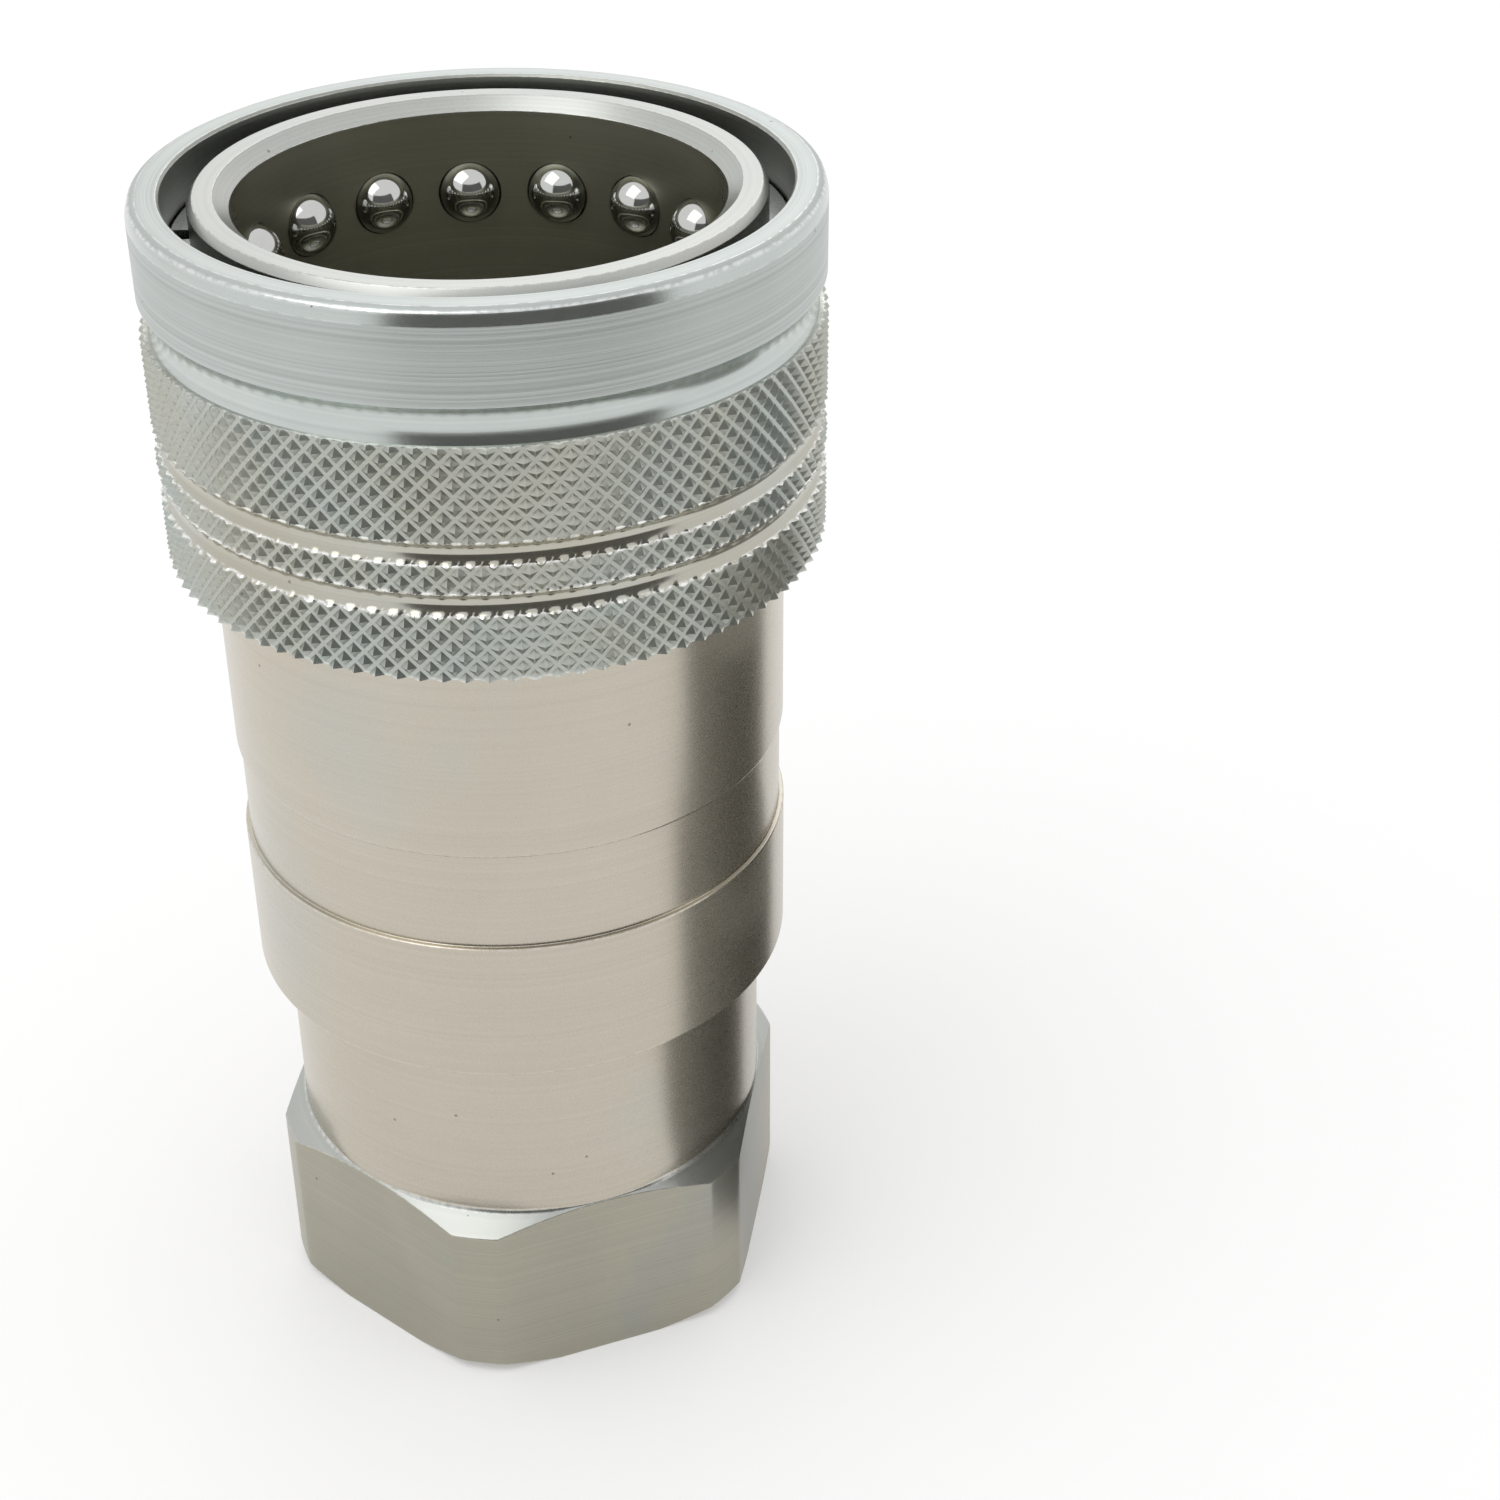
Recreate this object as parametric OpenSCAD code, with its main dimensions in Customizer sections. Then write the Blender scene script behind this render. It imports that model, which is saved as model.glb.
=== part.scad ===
// Socket half of a ball-lock quick coupling, with a poppet valve and a pipe-thread port.
// The axis is Z, the port face is z = 0 and the mouth is at the top. Sizes are in millimetres.

/* [Hexagon and port] */
// Width across the flats of the spanner hexagon
hex_af = 41; // [40.6:0.1:41.6]
// Height of the hexagon
hex_h = 16.8; // [15.5:0.1:18]
// Radius that the hexagon's corners are turned down to
hex_corner_r = 22.6; // [22.2:0.1:23]
// Angle of the turned chamfers on the hexagon's corners
hex_chamfer = 30; // [25:1:35]
// Height of the chamfer on the corners at the port face
foot_chamfer_h = 0.9; // [0.5:0.1:1.2]
// Wall radius of the threaded port, at the root of a G 1 thread
port_r = 16.65; // [16.5:0.05:16.8]
// Depth of the threaded wall
port_h = 20; // [19:0.5:22]
// Radius of the flow passage behind the thread
passage_r = 12.7; // [12:0.1:13.2]

/* [Adapter] */
// Radius of the neck above the hexagon
neck_r = 20.4; // [20:0.1:20.5]
// Radius of the collar above the neck
collar_r = 22.7; // [22.5:0.1:23]
// Height of the collar's lower edge
collar_z = 33.4; // [32:0.1:34.5]
// Radius of the flat band above the collar
band_r = 22.3; // [22.1:0.1:22.4]
// Height of the flat band's lower edge
band_z = 46; // [45:0.1:47]
// Height of the joint between the adapter and the front body
joint_z = 54.5; // [53.5:0.1:55.5]
// Length of the adapter's screwed spigot inside the front body
spigot_h = 7.9; // [7:0.1:8]
// Radius of the screwed spigot
spigot_r = 18.85; // [18.7:0.05:18.9]
// Radius of the valve chamber
chamber_r = 15; // [14.5:0.1:15.3]
// Height of the shoulder that the valve guide sits on
guide_z = 36; // [35:0.1:37]

/* [Front body] */
// Radius of the front body below the sleeve
body_r = 22.6; // [22.5:0.05:22.65]
// Height of the shoulder that the sleeve's spring stands on
shoulder_z = 74; // [73.8:0.1:74.5]
// Radius of the body inside the sleeve's spring
waist_r = 20.5; // [20.4:0.05:20.55]
// Radius of the part that guides the sleeve and holds the balls
cage_r = 21.8; // [21.7:0.02:21.84]
// Height of the cage's lower edge
cage_z = 88.6; // [88.4:0.1:89]
// Radius of the nose above the retaining ring
nose_r = 21.4; // [21.2:0.05:21.5]
// Height of the nose's face
nose_z = 99.9; // [99.5:0.1:100.2]
// Radius of the mouth's bore, round the balls
mouth_r = 18.34; // [18.3:0.02:18.4]
// Radius of the bore that takes the plug's tip
tip_r = 17.25; // [17.2:0.01:17.3]
// Height of the tip bore's upper end
tip_top_z = 80.2; // [79.5:0.1:80.6]
// Height of the face that stops the plug
stop_z = 66.9; // [66.5:0.1:67.2]
// Radius of the opening that the valve closes
seat_r = 9.75; // [9.5:0.05:10]

/* [Ball lock] */
// Number of lock balls
ball_n = 16; // [16:1:16]
// Radius of a lock ball
ball_r = 2.55; // [2.5:0.01:2.56]
// Height of the balls
ball_z = 92.2; // [92:0.05:92.3]
// Distance of a ball's centre from the axis when locked
ball_rest_r = 18.95; // [18.94:0.005:18.97]
// Direction of the first ball round the axis
ball_phase = 10; // [0:0.5:22]
// Clearance of a ball in its hole
ball_clear = 0.05; // [0.03:0.01:0.07]
// How far the sleeve is pulled back to release the plug
sleeve_travel = 5; // [4.9:0.05:5.1]
// How far each ball moves outwards meanwhile
ball_travel = 1.72; // [1.7:0.01:1.74]
// Play of a locked ball under the sleeve's land
lock_play = 0.4; // [0.38:0.01:0.42]

/* [Sleeve] */
// Height of the sleeve's rim, which is the top of the coupling
rim_z = 100.3; // [100:0.1:100.6]
// Height of the sleeve's lower edge
sleeve_z = 72.1; // [71.5:0.1:72.5]
// Radius of the sleeve over its knurl
knurl_r = 26; // [25.9:0.05:26.2]
// Radius of the plain band below the rim
rim_r = 25.8; // [25.6:0.05:25.9]
// Radius of the round-over on the rim
rim_round = 0.8; // [0.5:0.1:1]
// Height of the plain band's sharp lower edge
rim_band_z = 93.3; // [93:0.1:93.6]
// Smallest radius of the cove under the plain band
cove_r = 25; // [24.8:0.05:25.1]
// Top edge of the upper knurl
knurl_top_z = 90.3; // [90.1:0.1:90.5]
// Heights of the upper groove's edges
groove_1 = [81.2, 83.1];
// Heights of the lower groove's edges
groove_2 = [77.2, 79.1];
// Depth of the two grooves below the knurl's crests
groove_depth = 0.8; // [0.6:0.05:0.9]
// Radius of the bore at the spring and at the body
sleeve_bore_r = 22.68; // [22.67:0.01:22.7]
// Lower end of the land, where the spring pushes
land_z = 88.2; // [88:0.05:88.3]
// Height at which the release ramp starts
ramp_z = 92.8; // [92.75:0.01:92.85]
// Height of the ledge that meets the retaining ring
ledge_z = 95.3; // [95.28:0.01:95.32]

/* [Retaining ring] */
// Thickness of the ring
ring_h = 1.16; // [1.1:0.02:1.16]
// Radius of the bottom of its groove
ring_groove_r = 20.45; // [20.3:0.05:20.5]
// Width of its groove
ring_groove_h = 1.2; // [1.2:0.01:1.25]
// Direction of the gap between the ring's ends
ring_gap_dir = 164.5; // [0:0.5:359]
// Angle that the gap takes up
ring_gap = 5; // [3:0.5:10]

/* [Valve] */
// Height of the valve's face, just behind the face that stops the plug
valve_face_z = 66.5; // [66.3:0.1:66.6]
// Radius of the boss that the plug's valve pushes on
boss_r = 3.15; // [2.9:0.05:3.4]
// Depth of the dish round that boss
dish_depth = 1.8; // [1.4:0.1:2]
// Radius of the valve's head
head_r = 12.3; // [12.1:0.05:12.4]
// Height of the back of the head
head_z = 58.6; // [58.2:0.1:59]
// Radius of the stem
stem_r = 3; // [2.8:0.1:3.2]
// Height of the stem's lower end
stem_z = 33.3; // [32.5:0.1:34]
// Number of arms on the valve guide
guide_arms = 3; // [3:1:4]
// Radius of the guide's hub
hub_r = 5.2; // [5:0.1:5.6]

/* [Seals and springs] */
// Height of the plug seal groove's lower edge
seal_z = 68.2; // [68:0.1:68.4]
// Width of the plug seal's groove
seal_groove_h = 4.6; // [4.5:0.05:4.6]
// Radius of the bottom of that groove
seal_groove_r = 20.2; // [20.1:0.05:20.3]
// Radius of the plug seal's round section
seal_section_r = 1.52; // [1.5:0.01:1.52]
// Thickness of the backup ring
backup_h = 1.4; // [1.2:0.05:1.42]
// Radius of the joint seal's round section
joint_seal_r = 0.9; // [0.8:0.05:0.95]
// Radius of the valve seal's round section
valve_seal_r = 0.85; // [0.8:0.01:0.9]
// Wire thickness of the sleeve's spring
sleeve_wire = 1.6; // [1.5:0.02:1.6]
// Number of turns of the sleeve's spring
sleeve_turns = 5; // [4.5:0.25:5]
// Wire thickness of the valve's spring
valve_wire = 1.6; // [1.4:0.05:1.8]
// Number of turns of the valve's spring
valve_turns = 6.5; // [6:0.25:6.75]
// Mean radius of the valve's spring
valve_coil_r = 7.3; // [7.1:0.1:7.8]

/* [Hidden] */
$fn = 96;

nickel = [0.72, 0.69, 0.63];
zinc = [0.80, 0.83, 0.84];
polished = [0.9, 0.9, 0.92];
spring_steel = [0.55, 0.56, 0.58];
black_rubber = [0.08, 0.08, 0.09];
white_ptfe = [0.93, 0.93, 0.90];

ease = 0.3;                    // broken edges on turned shoulders
gap = 0.05;                    // clearance between pieces that are screwed or dropped together
past = 1;                      // how far a cutter runs past the face that it opens
chamber_top_z = joint_z + spigot_h + 0.6;
seat_chamfer = 3;              // height and width of the 45 degree valve seat
seat_gap = 0.1;                // metal clearance at the closed valve
guide_ring_h = 2.5;
guide_arm_h = 3;
guide_arm_w = 3;
hub_h = 10.5;
hub_z = guide_z - 2.5;
ball_hole_r = ball_r + ball_clear;
land_r = ball_rest_r + ball_r + lock_play;
ramp_angle = atan(ball_travel / sleeve_travel) + 1;
ramp_r = land_r + (ledge_z - ramp_z) * tan(ramp_angle);
counter_r = ball_rest_r + ball_travel + ball_r + gap;
ring_r = counter_r - 0.12;     // the ring drops into the counterbore
ball_mouth_r = ball_r - 0.07;  // the hole's lip, which keeps the ball from falling inwards
spring_clear = 0.08;
sleeve_coil_r = sleeve_bore_r - spring_clear - sleeve_wire / 2;

// Points on an arc about [x, y], from angle a0 to angle a1
function arc(x, y, r, a0, a1, n = 8) =
    [for (i = [0:n]) let (a = a0 + (a1 - a0) * i / n) [x + r * cos(a), y + r * sin(a)]];

// A solid turned from an outline of [radius, height] points
module turned(outline) {
    rotate_extrude() polygon(outline);
}

// A round bore or a plain disc between two heights
module disc(r, z0, z1) {
    translate([0, 0, z0]) cylinder(r = r, h = z1 - z0);
}

// A flat ring between two heights
module flat_ring(r_out, r_in, z0, z1) {
    difference() {
        disc(r_out, z0, z1);
        disc(r_in, z0 - past, z1 + past);
    }
}

// A ring of round section
module o_ring(r, section_r, z) {
    translate([0, 0, z]) rotate_extrude() translate([r, 0]) circle(r = section_r, $fn = 32);
}

// Height of a coil's wire after some turns: a closed turn at each end and open turns between
function coil_height(turn, turns, wire, h) =
    let (
        closed = 1.03 * wire,
        open = (h - wire - 2 * closed) / (turns - 2)
    )
    wire / 2 + closed * min(turn, 1) + open * max(0, min(turn, turns - 1) - 1)
        + closed * max(0, turn - (turns - 1));

// A round-wire compression spring of height h standing on z
module coil_spring(coil_r, wire, turns, h, z) {
    sides = 8;
    steps = ceil(turns * 18);
    points = [
        for (i = [0:steps], j = [0:sides - 1])
            let (
                turn = turns * i / steps,
                a = 360 * turn,
                b = 360 * j / sides,
                r = coil_r + wire / 2 * cos(b)
            )
            [r * cos(a), r * sin(a), coil_height(turn, turns, wire, h) + wire / 2 * sin(b)]
    ];
    walls = [
        for (i = [0:steps - 1], j = [0:sides - 1], half = [0, 1])
            let (
                a = i * sides + j,
                b = i * sides + (j + 1) % sides
            )
            half == 0 ? [a, a + sides, b] : [b, a + sides, b + sides]
    ];
    first = [for (j = [0:sides - 1]) j];
    last = [for (j = [sides - 1:-1:0]) steps * sides + j];
    translate([0, 0, z]) polyhedron(points, concat(walls, [first, last]));
}

// Hexagon with its corners turned down by a cone at each end
module hexagon() {
    slope = tan(hex_chamfer);
    intersection() {
        cylinder(r = hex_af / 2 / cos(30), h = hex_h, $fn = 6);
        turned([
            [0, 0],
            [hex_corner_r - foot_chamfer_h / slope, 0],
            [hex_corner_r, foot_chamfer_h],
            [hex_corner_r, hex_h - (hex_corner_r - neck_r) * slope],
            [neck_r, hex_h],
            [0, hex_h]
        ]);
    }
}

// Outside of the adapter above the hexagon
module adapter_barrel() {
    turned(concat(
        [[0, hex_h - past], [neck_r, hex_h - past]],
        [[neck_r, collar_z]],
        [[collar_r - ease, collar_z], [collar_r, collar_z + ease], [collar_r, band_z - ease]],
        [[collar_r - ease, band_z], [band_r, band_z]],
        [[band_r, joint_z - ease / 2], [band_r - ease / 2, joint_z]],
        [[spigot_r, joint_z], [spigot_r, joint_z + spigot_h - ease]],
        [[spigot_r - ease, joint_z + spigot_h], [0, joint_z + spigot_h]]
    ));
}

// Port, flow passage and valve chamber, cut through the adapter
module adapter_bore() {
    entry = 0.95;
    cone_h = (port_r - passage_r) * tan(30);
    turned([
        [0, -past],
        [port_r + entry + past, -past],
        [port_r, entry],
        [port_r, port_h],
        [passage_r, port_h + cone_h],
        [passage_r, guide_z],
        [chamber_r, guide_z],
        [chamber_r, joint_z + spigot_h + past],
        [0, joint_z + spigot_h + past]
    ]);
}

module adapter() {
    seal_groove_w = 2.2 * joint_seal_r;
    seal_mid_z = joint_z + 2.4;
    color(nickel)
    difference() {
        union() {
            hexagon();
            adapter_barrel();
        }
        adapter_bore();
        flat_ring(
            spigot_r + past, spigot_r - 2 * joint_seal_r,
            seal_mid_z - seal_groove_w / 2, seal_mid_z + seal_groove_w / 2
        );
    }
}

module joint_seal() {
    color(black_rubber)
    o_ring(spigot_r - joint_seal_r + 0.02, joint_seal_r, joint_z + 2.4);
}

// Cutter for one ball hole, with a lip at its inner end
module ball_hole() {
    seat_w = 0.26;
    rotate([0, 90, 0])
    turned([
        [0, tip_r],
        [ball_mouth_r, tip_r],
        [ball_mouth_r, mouth_r],
        [ball_hole_r, mouth_r + seat_w],
        [ball_hole_r, cage_r + past],
        [0, cage_r + past]
    ]);
}

// Outside of the front body, from the adapter to the nose
module front_body_blank() {
    chamfer_w = 0.46;
    chamfer_h = 0.6;
    turned([
        [0, joint_z],
        [body_r - ease, joint_z],
        [body_r, joint_z + ease],
        [body_r, shoulder_z - ease],
        [body_r - ease, shoulder_z],
        [waist_r, shoulder_z],
        [waist_r, cage_z - (cage_r - waist_r)],
        [cage_r, cage_z],
        [cage_r, ledge_z - (cage_r - nose_r)],
        [nose_r, ledge_z],
        [ring_groove_r, ledge_z],
        [ring_groove_r, ledge_z + ring_groove_h],
        [nose_r, ledge_z + ring_groove_h],
        [nose_r, nose_z - chamfer_h],
        [nose_r - chamfer_w, nose_z],
        [0, nose_z]
    ]);
}

// Inside of the front body: socket, valve seat, tip bore, seal groove and mouth
module front_body_bore() {
    mouth_chamfer_w = 1.13;
    mouth_chamfer_h = 1;
    lead_h = 1.5;
    socket_z = joint_z + spigot_h + 0.1;
    turned([
        [0, joint_z - past],
        [spigot_r + gap, joint_z - past],
        [spigot_r + gap, socket_z],
        [chamber_r, socket_z],
        [chamber_r, chamber_top_z],
        [seat_r + seat_chamfer, chamber_top_z],
        [seat_r, chamber_top_z + seat_chamfer],
        [seat_r, stop_z],
        [tip_r, stop_z],
        [tip_r, seal_z],
        [seal_groove_r, seal_z],
        [seal_groove_r, seal_z + seal_groove_h],
        [tip_r, seal_z + seal_groove_h],
        [tip_r, tip_top_z],
        [mouth_r, tip_top_z + lead_h],
        [mouth_r, nose_z - mouth_chamfer_h],
        [mouth_r + mouth_chamfer_w, nose_z],
        [mouth_r + mouth_chamfer_w, nose_z + past],
        [0, nose_z + past]
    ]);
}

module front_body() {
    color(nickel)
    difference() {
        front_body_blank();
        front_body_bore();
        for (i = [0:ball_n - 1])
            rotate([0, 0, ball_phase + 360 * i / ball_n]) translate([0, 0, ball_z]) ball_hole();
    }
}

module plug_seal() {
    color(black_rubber)
    o_ring(seal_groove_r - gap - seal_section_r, seal_section_r, seal_z + gap + seal_section_r);
}

module backup_ring() {
    top = seal_z + seal_groove_h - gap;
    color(white_ptfe)
    flat_ring(seal_groove_r - gap, tip_r + gap, top - backup_h, top);
}

// Split ring in the nose's groove, which the sleeve's ledge comes up against
module retaining_ring() {
    z = ledge_z + (ring_groove_h - ring_h) / 2;
    half = ring_gap / 2;
    reach = ring_r + past;
    color(spring_steel)
    difference() {
        flat_ring(ring_r, ring_groove_r + gap, z, z + ring_h);
        rotate([0, 0, ring_gap_dir])
        translate([0, 0, z - past])
        linear_extrude(ring_h + 2 * past)
        polygon([[0, 0], [reach, -reach * tan(half)], [reach, reach * tan(half)]]);
    }
}

// Ring, arms and hub that carry the valve's stem
module valve_guide() {
    color(nickel)
    difference() {
        union() {
            flat_ring(chamber_r - gap, passage_r - ease, guide_z, guide_z + guide_ring_h);
            disc(hub_r, hub_z, hub_z + hub_h);
            for (i = [0:guide_arms - 1])
                rotate([0, 0, 90 + 360 * i / guide_arms])
                translate([0, -guide_arm_w / 2, guide_z])
                cube([passage_r + 1, guide_arm_w, guide_arm_h]);
        }
        disc(stem_r + gap, hub_z - past, hub_z + hub_h + past);
    }
}

module valve_spring() {
    foot = guide_z + guide_arm_h;
    color(spring_steel)
    coil_spring(valve_coil_r, valve_wire, valve_turns, head_z - foot, foot);
}

// Height of the valve's cone at a radius, parallel to its seat
function cone_z(r) = chamber_top_z + seat_r + seat_chamfer - seat_gap * sqrt(2) - r;

// Centre of the valve seal's section, set so that the seal meets the seat
function valve_seal_pos() = let (
    r = head_r - 1.3,
    z = chamber_top_z + seat_r + seat_chamfer - (valve_seal_r + 0.02) * sqrt(2) - r
) [r, z];

module poppet() {
    face_r = seat_r - 0.25;
    dish_r = face_r - 0.9;
    dish_z = valve_face_z - dish_depth;
    boss_ease = 0.4;
    collar_h = 1.2;
    spring_collar_r = valve_coil_r - valve_wire / 2 - 0.25;
    color(zinc)
    difference() {
        turned(concat(
            [[0, stem_z], [stem_r - ease, stem_z], [stem_r, stem_z + ease]],
            [[stem_r, head_z - collar_h], [spring_collar_r, head_z - collar_h]],
            [[spring_collar_r, head_z], [head_r - ease, head_z], [head_r, head_z + ease]],
            [[head_r, cone_z(head_r)], [face_r, cone_z(face_r)], [face_r, valve_face_z]],
            arc(dish_r - dish_depth, valve_face_z, dish_depth, 0, -90),
            arc(boss_r + boss_ease, dish_z + boss_ease, boss_ease, 270, 180),
            [[boss_r, valve_face_z - boss_ease], [boss_r - boss_ease, valve_face_z]],
            [[0, valve_face_z]]
        ));
        o_ring(valve_seal_pos().x, valve_seal_r + 0.01, valve_seal_pos().y);
    }
}

module valve_seal() {
    color(black_rubber)
    o_ring(valve_seal_pos().x, valve_seal_r, valve_seal_pos().y);
}

module sleeve_spring() {
    color(spring_steel)
    coil_spring(sleeve_coil_r, sleeve_wire, sleeve_turns, land_z - shoulder_z, shoulder_z);
}

// Cutter for a round groove between two heights
module round_groove(edges) {
    half = (edges[1] - edges[0]) / 2;
    r = (half * half + groove_depth * groove_depth) / (2 * groove_depth);
    translate([knurl_r - groove_depth + r, (edges[0] + edges[1]) / 2]) circle(r = r, $fn = 64);
}

// Section of the sleeve's outside, with the two grooves, the cove and the round-over
module sleeve_outline() {
    cove_mid_z = rim_band_z - 1.9;
    rise = rim_band_z - cove_mid_z;
    depth = rim_r - cove_r;
    r = (rise * rise + depth * depth) / (2 * depth);
    foot_angle = 180 + asin((cove_mid_z - knurl_top_z) / r);
    difference() {
        polygon(concat(
            [[land_r, sleeve_z], [knurl_r - ease, sleeve_z], [knurl_r, sleeve_z + ease]],
            [[knurl_r, knurl_top_z - ease], [knurl_r - ease, knurl_top_z]],
            arc(cove_r + r, cove_mid_z, r, foot_angle, 180 - asin(rise / r)),
            arc(rim_r - rim_round, rim_z - rim_round, rim_round, 0, 90),
            [[land_r, rim_z]]
        ));
        round_groove(groove_1);
        round_groove(groove_2);
    }
}

// Inside of the sleeve: body bore, land, release ramp, ledge and counterbore
module sleeve_bore() {
    rim_chamfer = 0.2;
    turned([
        [0, sleeve_z - past],
        [sleeve_bore_r + ease + past, sleeve_z - past],
        [sleeve_bore_r, sleeve_z + ease],
        [sleeve_bore_r, land_z],
        [land_r, land_z],
        [land_r, ramp_z],
        [ramp_r, ledge_z],
        [counter_r, ledge_z],
        [counter_r, rim_z - rim_chamfer],
        [counter_r + rim_chamfer + past, rim_z + past],
        [0, rim_z + past]
    ]);
}

module sleeve() {
    color(zinc)
    difference() {
        rotate_extrude() sleeve_outline();
        sleeve_bore();
    }
}

module ball(number) {
    color(polished)
    rotate([0, 0, ball_phase + 360 * (number - 1) / ball_n])
    translate([ball_rest_r, 0, ball_z])
    sphere(r = ball_r, $fn = 48);
}

adapter();
front_body();
joint_seal();
valve_guide();
valve_spring();
poppet();
valve_seal();
plug_seal();
backup_ring();
retaining_ring();
sleeve_spring();
sleeve();
ball(1);  // ball_01
ball(2);  // ball_02
ball(3);  // ball_03
ball(4);  // ball_04
ball(5);  // ball_05
ball(6);  // ball_06
ball(7);  // ball_07
ball(8);  // ball_08
ball(9);  // ball_09
ball(10);  // ball_10
ball(11);  // ball_11
ball(12);  // ball_12
ball(13);  // ball_13
ball(14);  // ball_14
ball(15);  // ball_15
ball(16);  // ball_16
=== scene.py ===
"""Finished look of a ball-lock quick coupling: the socket half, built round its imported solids."""

import logging
import math
from collections.abc import Callable, Sequence
from dataclasses import dataclass, field
from enum import Enum
from functools import partial

import bpy
from mathutils import Matrix, Vector


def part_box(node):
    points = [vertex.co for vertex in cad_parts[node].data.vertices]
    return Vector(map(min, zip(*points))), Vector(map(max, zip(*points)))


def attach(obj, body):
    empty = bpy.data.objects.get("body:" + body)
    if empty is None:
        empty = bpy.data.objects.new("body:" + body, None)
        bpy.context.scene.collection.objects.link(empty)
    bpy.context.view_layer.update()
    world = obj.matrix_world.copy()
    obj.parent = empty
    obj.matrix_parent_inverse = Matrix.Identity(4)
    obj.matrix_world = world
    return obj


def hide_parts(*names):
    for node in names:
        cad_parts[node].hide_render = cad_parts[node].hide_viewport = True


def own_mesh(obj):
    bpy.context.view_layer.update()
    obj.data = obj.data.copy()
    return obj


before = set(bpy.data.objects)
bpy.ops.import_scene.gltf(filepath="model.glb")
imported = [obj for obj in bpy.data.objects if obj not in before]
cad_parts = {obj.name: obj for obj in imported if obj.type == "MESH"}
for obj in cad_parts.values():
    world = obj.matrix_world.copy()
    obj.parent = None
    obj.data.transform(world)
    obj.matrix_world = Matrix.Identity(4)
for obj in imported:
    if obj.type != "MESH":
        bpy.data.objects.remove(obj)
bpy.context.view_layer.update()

LOG = logging.getLogger("coupling")

Outline = Sequence["Station"]
Value = float | tuple[float, ...] | bpy.types.NodeSocket


class Slot(str, Enum):
    """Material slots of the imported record."""

    BODY = "body_steel"
    SLEEVE = "sleeve_zinc"
    ZINC = "zinc_steel"
    BALL = "ball_steel"
    SPRING = "spring_wire"
    RUBBER = "seal_rubber"
    PLASTIC = "backup_plastic"


class Reach(Enum):
    """Which rays meet a studio piece."""

    ALL = "all"
    REFLECTIONS = "reflections"


# --------------------------------------------------------------------------------------------
# Outlines
# --------------------------------------------------------------------------------------------


@dataclass(frozen=True)
class Corner:
    """A corner of a turned outline.

    Args:
        r: Radius, in metres.
        z: Height, in metres.
        ease: Radius that the corner is rounded to, in metres.
        finish: Number of the material on the stretch from here to the next corner.
    """

    r: float
    z: float
    ease: float = 0.0
    finish: int = 0


@dataclass(frozen=True)
class Station:
    """A point of an eased outline, with how much of an edge it is and the finish after it."""

    r: float
    z: float
    edge: float = 0.0
    finish: int = 0


def eased(corners: Sequence[Corner], steps: int = 4, closed: bool = True) -> list[Station]:
    """Rounds the corners of an outline.

    Args:
        corners: The outline, up the outside and down the inside.
        steps: Number of steps in each rounded corner.
        closed: Whether the last corner joins the first.

    Returns:
        The points of the rounded outline.
    """
    stations: list[Station] = []
    count = len(corners)
    for i, corner in enumerate(corners):
        here = Vector((corner.r, corner.z))
        at_end = not closed and i in (0, count - 1)
        if corner.ease <= 0 or at_end:
            stations.append(Station(corner.r, corner.z, 0.0, corner.finish))
            continue
        before, after = corners[i - 1], corners[(i + 1) % count]
        back = Vector((before.r, before.z)) - here
        on = Vector((after.r, after.z)) - here
        half_turn = (math.pi - back.angle(on)) / 2
        reach = min(corner.ease * math.tan(half_turn), 0.45 * back.length, 0.45 * on.length)
        start = here + back.normalized() * reach
        end = here + on.normalized() * reach
        for k in range(steps + 1):
            t = k / steps
            point = start * (1 - t) ** 2 + here * 2 * t * (1 - t) + end * t**2
            finish = corner.finish if k == steps or t > 0.5 else before.finish
            stations.append(Station(point.x, point.y, math.sin(math.pi * t), finish))
    return stations


def arc(r: float, z: float, radius: float, start: float, end: float, steps: int) -> list[Corner]:
    """Corners along an arc.

    Args:
        r: Radius at the arc's centre.
        z: Height of the arc's centre.
        radius: Radius of the arc.
        start: Angle that it starts at, in degrees.
        end: Angle that it ends at, in degrees.
        steps: Number of steps along it.

    Returns:
        The corners, without any easing.
    """
    angles = [math.radians(start + (end - start) * k / steps) for k in range(steps + 1)]
    return [Corner(r + radius * math.cos(a), z + radius * math.sin(a)) for a in angles]


# --------------------------------------------------------------------------------------------
# Meshes
# --------------------------------------------------------------------------------------------


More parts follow.
